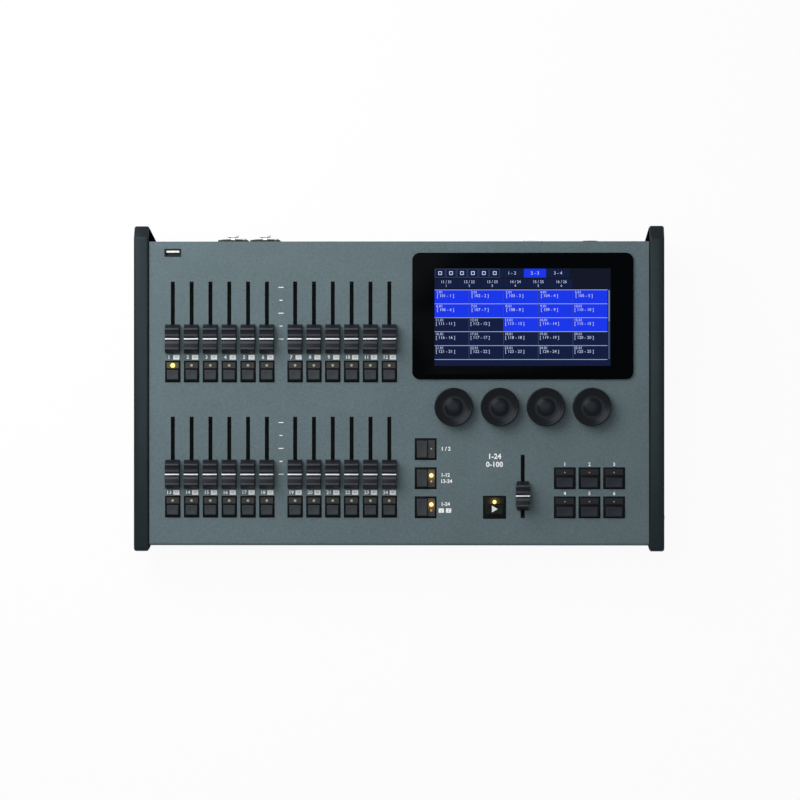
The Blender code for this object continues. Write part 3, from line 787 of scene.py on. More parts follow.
    def soften(
        self, piece: Piece, width: float, segments: int = 2, angle: float = 35.0
    ) -> Piece:
        """Rounds the sharp edges.

        Args:
            piece: The piece.
            width: Width of the rounding.
            segments: Its steps.
            angle: The least angle of an edge that is rounded, in degrees.

        Returns:
            The same piece.
        """
        self.hold(piece)
        bevel = piece.modifiers.new("soft_edges", "BEVEL")
        bevel.width = width
        bevel.segments = segments
        bevel.limit_method = "ANGLE"
        bevel.angle_limit = math.radians(angle)
        bpy.ops.object.modifier_apply(modifier=bevel.name)
        return piece

    def cut(self, piece: Piece, cutter: Piece) -> Piece:
        """Cuts one solid out of another and drops the cutter.

        Args:
            piece: The piece.
            cutter: What is taken away.

        Returns:
            The same piece.
        """
        self.hold(piece)
        boolean = piece.modifiers.new("opening", "BOOLEAN")
        boolean.operation = "DIFFERENCE"
        boolean.solver = "EXACT"
        boolean.object = cutter
        bpy.ops.object.modifier_apply(modifier=boolean.name)
        bpy.data.objects.remove(cutter)
        return piece

    def joined(self, pieces: Sequence[Piece]) -> Piece:
        """Joins pieces into the first of them.

        Args:
            pieces: The pieces.

        Returns:
            The joined piece.
        """
        self.hold(pieces[0])
        for piece in pieces[1:]:
            piece.select_set(True)
        if len(pieces) > 1:
            bpy.ops.object.join()
        return pieces[0]

    def smooth(self, piece: Piece, angle: float = 32.0) -> Piece:
        """Shades a piece smooth, except at sharp edges.

        Args:
            piece: The piece.
            angle: The least angle of a sharp edge, in degrees.

        Returns:
            The same piece.
        """
        self.hold(piece)
        bpy.ops.object.shade_smooth_by_angle(angle=math.radians(angle))
        return piece

    def number(
        self, words: str, size: float, at: Point, low: float, thick: float = 0.05, bold: float = 0.0
    ) -> Piece:
        """Adds plain figures as a thin solid.

        Args:
            words: The figures.
            size: Their size.
            at: Their middle in the plane.
            low: Height of their underside.
            thick: Their thickness.
            bold: How far they are thickened, as a share of their size.

        Returns:
            The figures as a mesh.
        """
        self.fresh()
        bpy.ops.object.text_add(location=(at[0], at[1], low + thick / 2.0))
        made = bpy.context.object
        made.data.body = words
        made.data.size = size
        made.data.align_x = "CENTER"
        made.data.align_y = "CENTER"
        made.data.extrude = thick / 2.0
        made.data.resolution_u = 2
        made.data.offset = size * bold
        bpy.ops.object.convert(target="MESH")
        bpy.ops.object.transform_apply(location=True, rotation=True, scale=True)
        return bpy.context.object

    def tint(self, piece: Piece, colour: Colour, glow: Colour = BLACK) -> Piece:
        """Gives every face of a piece one tint and one glow.

        Args:
            piece: The piece.
            colour: The linear colour.
            glow: The light it gives.

        Returns:
            The same piece.
        """
        for name, value in (("tint", colour), ("glow", glow)):
            layer = piece.data.color_attributes.get(name)
            if layer is None:
                layer = piece.data.color_attributes.new(name=name, type="FLOAT_COLOR", domain="CORNER")
            layer.data.foreach_set("color", list(opaque(value)) * len(layer.data))
        return piece

    def tint_faces(self, piece: Piece, colour: Colour, test: FaceTest) -> Piece:
        """Tints some faces of a piece.

        Args:
            piece: The piece, already tinted as a whole.
            colour: The linear colour.
            test: Which faces.

        Returns:
            The same piece.
        """
        layer = piece.data.color_attributes["tint"]
        for polygon in piece.data.polygons:
            if test(polygon.center, polygon.normal):
                for corner in polygon.loop_indices:
                    layer.data[corner].color = opaque(colour)
        return piece

    def gridded(self, piece: Piece, cuts: int) -> Piece:
        """Cuts every face of a piece into a grid.

        Args:
            piece: The piece.
            cuts: Cuts across each edge.

        Returns:
            The same piece.
        """
        self.hold(piece)
        bpy.ops.object.mode_set(mode="EDIT")
        bpy.ops.mesh.select_all(action="SELECT")
        bpy.ops.mesh.subdivide(number_cuts=cuts)
        bpy.ops.object.mode_set(mode="OBJECT")
        return piece

    def spill(self, piece: Piece, at: Point, reach: float, colour: Colour) -> Piece:
        """Adds the light that a lamp spills on a tinted piece.

        Args:
            piece: The piece, already tinted.
            at: The lamp's middle in the plane.
            reach: Distance at which a third of the light is left.
            colour: The light beside the lamp.

        Returns:
            The same piece.
        """
        layer = piece.data.color_attributes["glow"]
        for loop in piece.data.loops:
            spot = piece.data.vertices[loop.vertex_index].co
            share = math.exp(-(((spot.x - at[0]) ** 2 + (spot.y - at[1]) ** 2) / reach**2))
            light = layer.data[loop.index].color
            added = [old + share * new for old, new in zip(light, colour)]
            layer.data[loop.index].color = opaque(added)
        return piece

    def twin(self, piece: Piece, matrix: Matrix) -> Piece:
        """Copies a piece with a mesh of its own and moves the copy.

        Args:
            piece: The piece.
            matrix: Where the copy goes.

        Returns:
            The copy.
        """
        made = piece.copy()
        made.data = piece.data.copy()
        made.data.transform(matrix)
        bpy.context.scene.collection.objects.link(made)
        return made

    def drop(self, piece: Piece) -> None:
        """Removes a pattern that was only copied.

        Args:
            piece: The pattern.
        """
        bpy.data.objects.remove(piece)


def shift(x: float, y: float, z: float = 0.0) -> Matrix:
    """Makes a plain move.

    Args:
        x: Move along x.
        y: Move along y.
        z: Move along z.

    Returns:
        The matrix.
    """
    return Matrix.Translation((x, y, z))


@dataclass(frozen=True)
class PanelSeat:
    """Where the flat panel sits on the frame.

    Attributes:
        front: The panel's front edge in the frame, y and z in metres.
        slope: The panel's slope in degrees.
        rear_face: The rear panel's outer face, in millimetres from the front edge.
    """

    front: Point = (-0.1355712, 0.046)
    slope: float = 7.5
    rear_face: float = 264.1

    def top(self) -> Matrix:
        """Gives the place of the panel's top.

        Returns:
            The matrix from flat millimetres to the frame.
        """
        turn = Matrix.Rotation(math.radians(self.slope), 4, "X")
        return Matrix.Translation((0.0, *self.front)) @ turn @ Matrix.Scale(MILLIMETRE, 4)

    def rear(self) -> Matrix:
        """Gives the place of the rear face, with y up and z out of the desk.

        Returns:
            The matrix from millimetres on the rear face to the frame.
        """
        stand = Matrix.Rotation(math.radians(90.0), 4, "X") @ Matrix.Rotation(math.radians(180.0), 4, "Y")
        return self.top() @ shift(0.0, self.rear_face) @ stand

    def side(self, sign: float, face: float) -> Matrix:
        """Gives the place of a side, with z out of the desk and y up the panel's normal.

        Args:
            sign: One for the right side, minus one for the left.
            face: The side face's distance from the middle in millimetres.

        Returns:
            The matrix from millimetres on the side to the frame.
        """
        out = Matrix(
            (
                (0.0, 0.0, sign, sign * face),
                (sign, 0.0, 0.0, 0.0),
                (0.0, 1.0, 0.0, 0.0),
                (0.0, 0.0, 0.0, 1.0),
            )
        )
        return self.top() @ out


class Workshop:
    """What every class needs to make and seat its pieces."""

    def __init__(self) -> None:
        """Sets up the bench, the finishes and the panel's place."""
        self.bench = Bench()
        self.finishes = FinishShelf()
        self.seat = PanelSeat()

    def settle(
        self,
        piece: Piece,
        name: str,
        finish: Finishes,
        body: str = ROOT_BODY,
        stands_for: Iterable[str] = (),
        place: Matrix | None = None,
    ) -> Piece:
        """Seats a finished piece on the frame.

        Args:
            piece: The piece, in millimetres.
            name: Its name.
            finish: Its finish.
            body: The body it rides on.
            stands_for: The frame's nodes it replaces.
            place: From millimetres to the frame. The panel's top if left out.

        Returns:
            The seated piece.
        """
        piece.name = name
        piece.data.name = name
        piece.data.transform(self.seat.top() if place is None else place)
        piece.data.update()
        self.finishes.give(piece, finish)
        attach(piece, body)
        nodes = list(stands_for)
        if nodes:
            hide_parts(*nodes)
        LOG.info("%s rides on %s with %d faces", name, body, len(piece.data.polygons))
        return piece


@dataclass
class DeskLayout:
    """Places on the panel, in millimetres.

    Attributes:
        channels: How many channels there are, the first half of them in the upper row.
        bank: Faders in a bank, with two banks in a row.
        fader_pitch: Spacing of the faders.
        first_fader: Place of the first fader across the panel.
        second_bank: Place of the seventh fader.
        fader_rest: Rest place of the lower row's cap lines along the panel.
        slot_middle: Middle of the lower row's slots.
        flash_row: Middle of the lower row of flash keys.
        row_pitch: From the lower row to the upper row.
        master: The master's cap line.
        encoders: Places of the encoders across the panel.
        encoder_row: Their place along it.
    """

    channels: int = 24
    bank: int = 6
    fader_pitch: float = 16.4
    first_fader: float = -196.8
    second_bank: float = -90.2
    fader_rest: float = 62.0
    slot_middle: float = 84.5
    flash_row: float = 33.7
    row_pitch: float = 117.7
    master: Point = (107.8, 43.35)
    encoders: tuple[float, ...] = (47.8, 87.8, 127.8, 167.8)
    encoder_row: float = 120.6

    def column(self, index: int) -> float:
        """Gives a column's place across the panel.

        Args:
            index: The column from 0 to 11.

        Returns:
            Its place.
        """
        start = self.first_fader if index < self.bank else self.second_bank
        return start + self.fader_pitch * (index % self.bank)

    def places(self, along: float) -> list[Point]:
        """Gives one place for each channel.

        Args:
            along: The lower row's place along the panel.

        Returns:
            The places of the channels in order.
        """
        columns = [self.column(index) for index in range(self.channels // 2)]
        return [(across, row) for row in (along + self.row_pitch, along) for across in columns]


@dataclass
class CaseDress:
    """The frame's own nodes that only need a finish, and the screws of the case.

    Attributes:
        finishes: The finish of each kept node.
        cheek_face: Distance of the cheeks' outer faces from the middle.
        screw_radius: Radius of a screw head.
        side_screws: Places of the cheek screws, along the panel and over it.
        rear_screws: Places of the rear screws, across the desk and over the panel.
    """

    shop: Workshop
    finishes: dict[str, Finishes] = field(
        default_factory=lambda: {
            "top_panel": Finishes.PANEL,
            "base_pan": Finishes.CASE,
            "rear_panel": Finishes.CASE,
            "display_module": Finishes.BOARD,
            "fader_board": Finishes.BOARD,
            "command_board": Finishes.BOARD,
            "main_board": Finishes.BOARD,
            "front_foot_strip": Finishes.RUBBER,
            "rear_foot_strip": Finishes.RUBBER,
        }
    )
    cheek_face: float = 230.8
    screw_radius: float = 3.2
    side_screws: tuple[Point, ...] = ((24.0, -14.0), (132.0, -26.0), (240.0, -30.0))
    rear_screws: tuple[Point, ...] = ((-205.0, -9.0), (-60.0, -9.0), (60.0, -9.0), (205.0, -9.0))

    def dress(self) -> None:
        """Gives the kept nodes their finishes."""
        for node, finish in self.finishes.items():
            self.shop.finishes.give(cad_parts[node], finish)

    def screw(self) -> Piece:
        """Models a low screw head with a hexagon recess.

        Returns:
            The screw.
        """
        bench = self.shop.bench
        radius = self.screw_radius
        head = bench.turned(
            [
                (0.0, -0.4),
                (radius, -0.4),
                (radius, 0.35),
                (radius * 0.86, 0.75),
                (radius * 0.6, 0.9),
                (0.0, 0.9),
            ],
            steps=32,
        )
        bench.cut(head, bench.disc(radius * 0.42, 0.1, 2.0, sides=6))
        return bench.smooth(head)

    def build(self) -> None:
        """Adds the screws of the cheeks and of the rear panel."""
        bench = self.shop.bench
        pattern = self.screw()
        for name, sign in (("right", 1.0), ("left", -1.0)):
            heads = [bench.twin(pattern, shift(sign * y, z)) for y, z in self.side_screws]
            place = self.shop.seat.side(sign, self.cheek_face)
            self.shop.settle(bench.joined(heads), f"{name}_cheek_screws", Finishes.SCREW, place=place)
        heads = [bench.twin(pattern, shift(-x, y)) for x, y in self.rear_screws]
        self.shop.settle(bench.joined(heads), "rear_screws", Finishes.SCREW, place=self.shop.seat.rear())
        bench.drop(pattern)


@dataclass
class Cheeks:
    """The two moulded side cheeks with rounded edges.

    Attributes:
        inner: Distance of the inner faces from the middle.
        outer: Distance of the outer faces from the middle.
        raised: Height of the top over the panel.
        front: Place of the front end along the panel.
        toe: Place of the front end's foot along the panel, set back under the panel.
        bend: Where the top turns down at the rear.
        tip: Place and height of the rear end's top.
        front_height: Height of the panel's front edge over the floor.
        clear: Gap under the cheeks.
        edge: Radius of the long edges.
        lining_margin: How far the black sheet of painted shade on the inner face stays inside the outline.
        lining_stand: How far that sheet of painted shade stands out of the inner face.
        arc_steps: Steps of each corner's arc.
    """

    shop: Workshop
    inner: float = 217.8
    outer: float = 230.8
    raised: float = 2.4
    front: float = -5.8
    toe: float = 1.5
    bend: float = 267.8
    tip: Point = (278.4, -5.1)
    front_height: float = 46.0
    clear: float = 4.0
    edge: float = 2.2
    lining_margin: float = 1.6
    lining_stand: float = 0.15
    arc_steps: int = 8

    def corners(self) -> list[tuple[float, float, float]]:
        """Gives the corners of the outline, with the radius of each.

        Returns:
            Place along the panel, height over it and radius.
        """
        turn = math.radians(self.shop.seat.slope)
        bottom = self.clear - self.front_height
        toe = (bottom - self.toe * math.sin(turn)) / math.cos(turn)
        across = self.tip[0] * math.cos(turn) - self.tip[1] * math.sin(turn)
        heel = (
            across * math.cos(turn) + bottom * math.sin(turn),
            bottom * math.cos(turn) - across * math.sin(turn),
        )
        return [
            (self.toe, toe, 5.0),
            (*heel, 4.0),
            (*self.tip, 2.0),
            (self.bend, self.raised, 4.0),
            (self.front, self.raised, 4.0),
        ]

    def outline(self, inward: float = 0.0) -> list[Point]:
        """Rounds the corners.

        Args:
            inward: How far the outline is drawn in, less than its smallest radius.

        Returns:
            The points of the outline.
        """
        corners = self.corners()
        points = []
        for index, (along, height, radius) in enumerate(corners):
            here = Vector((along, height))
            back = (Vector(corners[index - 1][:2]) - here).normalized()
            ahead = (Vector(corners[(index + 1) % len(corners)][:2]) - here).normalized()
            half = back.angle(ahead) / 2.0
            middle = here + (back + ahead).normalized() * (radius / math.sin(half))
            start = here + back * (radius / math.tan(half)) - middle
            sweep = start.angle_signed(here + ahead * (radius / math.tan(half)) - middle)
            for step in range(self.arc_steps + 1):
                spoke = Matrix.Rotation(-sweep * step / self.arc_steps, 2) @ start
                points.append(tuple(middle + spoke * (1.0 - inward / radius)))
        return points

    def slab(self, points: Iterable[Point], start: float, end: float) -> Piece:
        """Draws an outline out across the desk.

        Args:
            points: The outline.
            start: Where it starts across the desk.
            end: Where it ends.

        Returns:
            The slab.
        """
        corners = [(start, along, height) for along, height in points]
        return self.shop.bench.drawn_out(corners, (end - start, 0.0, 0.0))

    def build(self) -> None:
        """Builds both cheeks, each with a matt black sheet on its inner face as painted shade."""
        bench = self.shop.bench
        for name, sign in (("left", -1.0), ("right", 1.0)):
            cheek = self.slab(self.outline(), sign * self.inner, sign * self.outer)
            bench.smooth(bench.soften(cheek, self.edge, 5, 60.0), 40.0)
            self.shop.settle(cheek, f"{name}_cheek_shell", Finishes.CHEEK, stands_for=[f"{name}_cheek"])
            # A matt black sheet on the inner face is painted shade, for the shadowed inner side.
            shade_sheet = self.slab(
                self.outline(self.lining_margin),
                sign * (self.inner - self.lining_stand),
                sign * (self.inner + self.lining_stand),
            )
            self.shop.settle(shade_sheet, f"{name}_cheek_shade_sheet", Finishes.LINER)


@dataclass
class FaderCaps:
    """The caps and levers of the channel faders and the master.

    Attributes:
        width: Width of a cap at its base.
        top_width: Width of a cap at its top.
        length: Length of a cap at its base.
        low: Height of a cap's underside.
        line: Half the width of the white line.
        neck: Width of the ends of the master's cap, as a share of its middle.
        end_from: Where the ends of the cap start, from the line.
        crest: Height of the cap's highest part.
        ridges: Where each ridge top with a painted highlight starts and ends, from the line.
        lever: Width and length of the lever, and the heights of its two ends.
        plastic: Colour of the cap.
        mark: Colour of the white line.
        ridge: Painted highlight on the ridge tops, lighter than the cap.
    """

    shop: Workshop
    layout: DeskLayout
    width: float = 12.8
    top_width: float = 12.2
    length: float = 25.5
    low: float = 1.2
    line: float = 0.52
    neck: float = 0.8
    end_from: float = 9.0
    crest: float = 11.7
    ridges: tuple[Point, ...] = ((2.2, 4.1), (7.6, 9.3))
    lever: tuple[float, float, float, float] = (1.4, 4.0, -9.0, 3.0)
    plastic: Colour = linear(29, 31, 35)
    mark: Colour = linear(248, 250, 250)
    # Painted highlight: the ridge tops are coloured lighter than the cap.
    ridge: Colour = linear(66, 69, 75)

    def on_ridge(self, along: float) -> bool:
        """Says whether a place on the cap is on a ridge top that gets a painted highlight.

        Args:
            along: Distance from the line.

        Returns:
            True on a ridge top with a painted highlight.
        """
        return any(start < along < end for start, end in self.ridges)

    def half(self) -> list[Point]:
        """Gives the cap's stepped profile from the line to its end.

        Returns:
            Distance from the line and height of each corner.
        """
        return [
            (self.line, 9.1),
            (1.9, 9.2),
            (2.2, 9.55),
            (2.9, 9.6),
            (3.2, 9.95),
            (4.1, 10.0),
            (7.0, 10.55),
            (7.6, 11.4),
            (8.0, self.crest),
            (8.8, self.crest),
            (9.3, 11.3),
            (self.length / 2.0 - 0.3, 2.4),
            (self.length / 2.0, self.low),
        ]

    def build_cap(self, ends: float = 1.0) -> Piece:
        """Models one cap with its lever, the line at the middle.

        Args:
            ends: Width of the cap's ends, as a share of its middle.

        Returns:
            The cap.
        """
        bench = self.shop.bench
        rear = self.half()
        front = [(-along, height) for along, height in reversed(rear)]
        points = [(-self.width / 2.0, along, height) for along, height in front + rear]
        cap = bench.drawn_out(points, (self.width, 0.0, 0.0))
        lean = (self.width - self.top_width) / 2.0 / (self.crest - self.low)
        for vertex in cap.data.vertices:
            vertex.co.x -= math.copysign(lean * (vertex.co.z - self.low), vertex.co.x)
            if abs(vertex.co.y) > self.end_from:
                vertex.co.x *= ends
        bench.soften(cap, 0.16, 2, 30.0)
        bench.tint(cap, self.plastic)
        bench.tint_faces(cap, self.mark, lambda at, normal: abs(at.y) < self.line and normal.z > 0.2)
        # The ridge tops are painted lighter, as a painted highlight.
        bench.tint_faces(cap, self.ridge, lambda at, normal: self.on_ridge(abs(at.y)) and normal.z > 0.6)
        lever = bench.tint(bench.soften(bench.block(*self.lever), 0.15, 1), self.plastic)
        return bench.smooth(bench.joined([cap, lever]), 25.0)

    def build(self) -> None:
        """Places a cap for every fader."""
        bench = self.shop.bench
        pattern = self.build_cap()
        for number, place in enumerate(self.layout.places(self.layout.fader_rest), 1):
            name = f"fader_{number:02d}"
            cap = bench.twin(pattern, shift(*place))
            self.shop.settle(cap, f"{name}_cap", Finishes.CAP, name, [name])
        bench.drop(pattern)
        cap = self.build_cap(self.neck)
        cap.data.transform(shift(*self.layout.master))
        self.shop.settle(cap, "master_cap", Finishes.CAP, "master_fader", ["master_fader"])


class Lamp(Enum):
    """How a key's lamp looks: its colour, the light it gives and the light it spills on the key."""

    DARK = (linear(160, 162, 146), linear(72, 72, 58), BLACK)
    DIM = (linear(190, 150, 80), linear(140, 100, 40), BLACK)
    RED = (linear(168, 116, 118), linear(74, 36, 38), BLACK)
    LIT = (linear(230, 200, 90), linear(255, 240, 150), linear(112, 96, 16))
    AMBER = (linear(230, 180, 80), linear(255, 236, 190), linear(128, 92, 22))

    def __init__(self, tint: Colour, glow: Colour, spill: Colour) -> None:
        """Names the three colours.

        Args:
            tint: Its colour.
            glow: The light it gives.
            spill: The light it spills.
        """
        self.tint = tint
        self.glow = glow
        self.spill = spill


class PadSide(Enum):
    """Which way a key's pad is moved to leave room for its lamps."""

    FRONT = "front"
    LEFT = "left"


@dataclass(frozen=True)
class LampSpot:
    """A lamp on a key.

    Attributes:
        at: Its place from the key's middle.
        radius: Its radius.
        state: How it looks.
    """

    at: Point
    radius: float
    state: Lamp


@dataclass
class KeyShape:
    """The shape of one kind of key.

    Attributes:
        width: Width of the key.
        length: Length of the key.
        side: Which way its pad is moved.
        shelf: Height of the shelf round the pad.
        top: Height of the pad.
        skirt: Height of the key's underside.
        pad_along: Place of a pad at the front, as a share of the key's length.
        plate_cuts: Cuts across a lamp plate that its lamps light.
        spill_reach: How far a lamp's light spills, in radii of the lamp.
        shelf_tint: Colour of the shelf.
        window_tint: Colour of the lamp plate.
        pad_tint: Colour of the pad.
    """

    shop: Workshop
    width: float
    length: float
    side: PadSide
    shelf: float = 0.6
    top: float = 2.6
    skirt: float = -1.6
    pad_along: float = -0.155
    plate_cuts: int = 9
    spill_reach: float = 1.9
    shelf_tint: Colour = linear(4, 5, 6)
    window_tint: Colour = linear(62, 63, 62)
    pad_tint: Colour = linear(58, 63, 67)

    def pad(self) -> tuple[float, float, Point]:
        """Gives the pad's size and place.

        Returns:
            Its width, its length and its middle.
        """
        if self.side is PadSide.FRONT:
            return self.width * 0.8, self.length * 0.46, (0.0, self.length * self.pad_along)
        return self.width * 0.5, self.length * 0.82, (-self.width * 0.165, 0.0)

    def window(self) -> tuple[float, float, Point]:
        """Gives the size and place of the plate that holds the lamps.

        Returns:
            Its width, its length and its middle.
        """
        if self.side is PadSide.FRONT:
            return self.width * 0.87, self.length * 0.29, (0.0, self.length * 0.305)
        return self.width * 0.34, self.length * 0.87, (self.width * 0.285, 0.0)

    def build_pad(self) -> Piece:
        """Models the pad with its dished top.

        Returns:
            The pad.
        """
        bench = self.shop.bench
        wide, long, at = self.pad()

        def on_dish(middle: Vector, normal: Vector) -> bool:
            """Finds the inner part of the top.

            Args:
                middle: A face's middle.
                normal: Its normal.

            Returns:
                True on the inner part.
            """
            near = abs(middle.x - at[0]) < wide * 0.2 and abs(middle.y - at[1]) < long * 0.2
            return near and faces_up(middle, normal)

        pad = bench.block(wide, long, self.shelf - 0.3, self.top, at)
        bench.inset(pad, faces_up, 1.0, 0.0)
        bench.inset(pad, on_dish, 0.5, -0.22)
        bench.soften(pad, 0.4, 2, 50.0)
        return bench.tint(pad, self.pad_tint)

    def build_window(self, lamps: Sequence[LampSpot]) -> Piece:
        """Models the plate that holds the lamps, with the light they spill.

        Args:
            lamps: The key's lamps.

        Returns:
            The plate.
        """
        bench = self.shop.bench
        wide, long, at = self.window()
        plate = bench.soften(bench.block(wide, long, self.shelf - 0.2, self.shelf + 0.25, at), 0.15, 1)
        lit = [lamp for lamp in lamps if any(lamp.state.spill)]
        if lit:
            bench.gridded(plate, self.plate_cuts)
        bench.tint(plate, self.window_tint)
        for lamp in lit:
            bench.spill(plate, lamp.at, lamp.radius * self.spill_reach, lamp.state.spill)
        return plate

    def build_lens(self, lamp: LampSpot) -> Piece:
        """Models a lamp's domed lens.

        Args:
            lamp: The lamp.

        Returns:
            The lens.
        """
        bench = self.shop.bench
        base = self.shelf + 0.1
        lens = bench.turned(
            [
                (0.0, base - 0.2),
                (lamp.radius, base - 0.2),
                (lamp.radius, base + 0.3),
                (lamp.radius * 0.8, base + 0.5),
                (lamp.radius * 0.4, base + 0.6),
                (0.0, base + 0.65),
            ],
            16,
        )
        lens.data.transform(shift(*lamp.at))
        return bench.tint(lens, lamp.state.tint, lamp.state.glow)

    def build(self, lamps: Sequence[LampSpot]) -> Piece:
        """Models a key about its middle.

        Args:
            lamps: The key's lamps.

        Returns:
            The key.
        """
        bench = self.shop.bench
        body = bench.soften(bench.block(self.width, self.length, self.skirt, self.shelf), 0.35, 2)
        bench.tint(body, self.shelf_tint)
        lenses = [self.build_lens(lamp) for lamp in lamps]
        return bench.smooth(bench.joined([body, self.build_pad(), self.build_window(lamps), *lenses]))


@dataclass
class FlashKeys:
    """The four mats of six flash keys.

    Attributes:
        width: Width of a key.
        length: Length of a key.
        dark_lamp: The lamp of most keys.
        lit_lamp: The lamp of the key that is lit.
        lit_number: The channel of that key.
    """

    shop: Workshop
    layout: DeskLayout
    width: float = 12.4
    length: float = 17.9
    dark_lamp: LampSpot = LampSpot((0.0, 5.3), 1.15, Lamp.DARK)
    lit_lamp: LampSpot = LampSpot((0.0, 5.3), 2.0, Lamp.LIT)
    lit_number: int = 1

    def build(self) -> None:
        """Builds the mats."""
        bench = self.shop.bench
        shape = KeyShape(self.shop, self.width, self.length, PadSide.FRONT)
        dark = shape.build([self.dark_lamp])
        lit = shape.build([self.lit_lamp])
        keys = []
        for number, place in enumerate(self.layout.places(self.layout.flash_row), 1):
            keys.append(bench.twin(lit if number == self.lit_number else dark, shift(*place)))
        for start in range(0, self.layout.channels, self.layout.bank):
            end = start + self.layout.bank
            node = f"flash_keys_{start + 1:02d}_{end:02d}"
            self.shop.settle(bench.joined(keys[start:end]), f"{node}_mat", Finishes.KEY, node, [node])
        bench.drop(dark)
        bench.drop(lit)


@dataclass
class SquareKeys:
    """The mode keys, the command keys and the go key.

    Attributes:
        size: Width and length of a mode key or a command key.
        go_size: Width and length of the go key.
        mode_column: Place of the mode keys across the panel.
        mode_rows: Their places along it.
        command_columns: Places of the command keys across the panel.
        command_rows: Their places along it.
        go_at: Place of the go key.
        arrow: Corners of the go key's triangle.
        arrow_low: Height of its underside.
        arrow_thick: Its thickness.
        command_tint: Colour of a command key's pad.
        command_window: Colour of its lamp plate.
        go_tint: Colour of the go key.
        arrow_tint: Colour of its triangle.
    """

    shop: Workshop
    size: float = 17.9
    go_size: float = 18.9
    mode_column: float = 23.4
    mode_rows: tuple[float, ...] = (83.9, 58.6, 33.3)
    command_columns: tuple[float, ...] = (144.4, 165.8, 187.2)
    command_rows: tuple[float, ...] = (58.6, 33.3)
    go_at: Point = (83.3, 33.3)
    arrow: tuple[Point, ...] = ((-2.3, -4.3), (2.9, -1.4), (-2.3, 1.5))
    arrow_low: float = 2.3
    arrow_thick: float = 0.36
    command_tint: Colour = linear(44, 46, 56)
    command_window: Colour = linear(36, 40, 44)
    go_tint: Colour = linear(20, 22, 22)
    arrow_tint: Colour = linear(236, 238, 238)

    def build_modes(self) -> None:
        """Builds the column of mode keys with their lamps at the right."""
        shape = KeyShape(self.shop, self.size, self.size, PadSide.LEFT)
        unlit = LampSpot((5.0, 0.2), 0.7, Lamp.DARK)
        small = LampSpot((5.0, -2.8), 0.9, Lamp.DIM)
        large = LampSpot((5.0, 2.4), 1.9, Lamp.AMBER)
        lamps = ([unlit], [large, small], [large, small])
        for number, (row, spots) in enumerate(zip(self.mode_rows, lamps), 1):
            key = shape.build(spots)
            key.data.transform(shift(self.mode_column, row))
            node = f"mode_key_{number}"
            self.shop.settle(key, f"{node}_top", Finishes.KEY, node, [node])

    def build_commands(self) -> None:
        """Builds the two rows of command keys."""
        shape = KeyShape(
            self.shop,
            self.size,
            self.size,
            PadSide.FRONT,
            pad_along=-0.21,
            window_tint=self.command_window,
            pad_tint=self.command_tint,
        )
        places = [(across, row) for row in self.command_rows for across in self.command_columns]
        for number, place in enumerate(places, 1):
            key = shape.build([LampSpot((0.0, 4.9), 0.7, Lamp.RED)])
            key.data.transform(shift(*place))
            node = f"command_key_{number}"
            self.shop.settle(key, f"{node}_top", Finishes.KEY, node, [node])

    def build_go(self) -> None:
        """Builds the go key with its lamp and its triangle."""
        bench = self.shop.bench
        shape = KeyShape(
            self.shop,
            self.go_size,
            self.go_size,
            PadSide.FRONT,
            pad_along=-0.1,
            window_tint=self.go_tint,
            pad_tint=self.go_tint,
        )
        key = shape.build([LampSpot((0.0, 4.6), 1.7, Lamp.LIT)])
        corners = [(across, along, self.arrow_low) for across, along in self.arrow]
        arrow = bench.drawn_out(corners, (0.0, 0.0, self.arrow_thick))
        bench.tint(arrow, self.arrow_tint)
        key = bench.joined([key, arrow])
        key.data.transform(shift(*self.go_at))
        self.shop.settle(key, "go_key_top", Finishes.KEY, "go_key", ["go_key"])

    def build(self) -> None:
        """Builds all the square keys."""
        self.build_modes()
        self.build_commands()
        self.build_go()


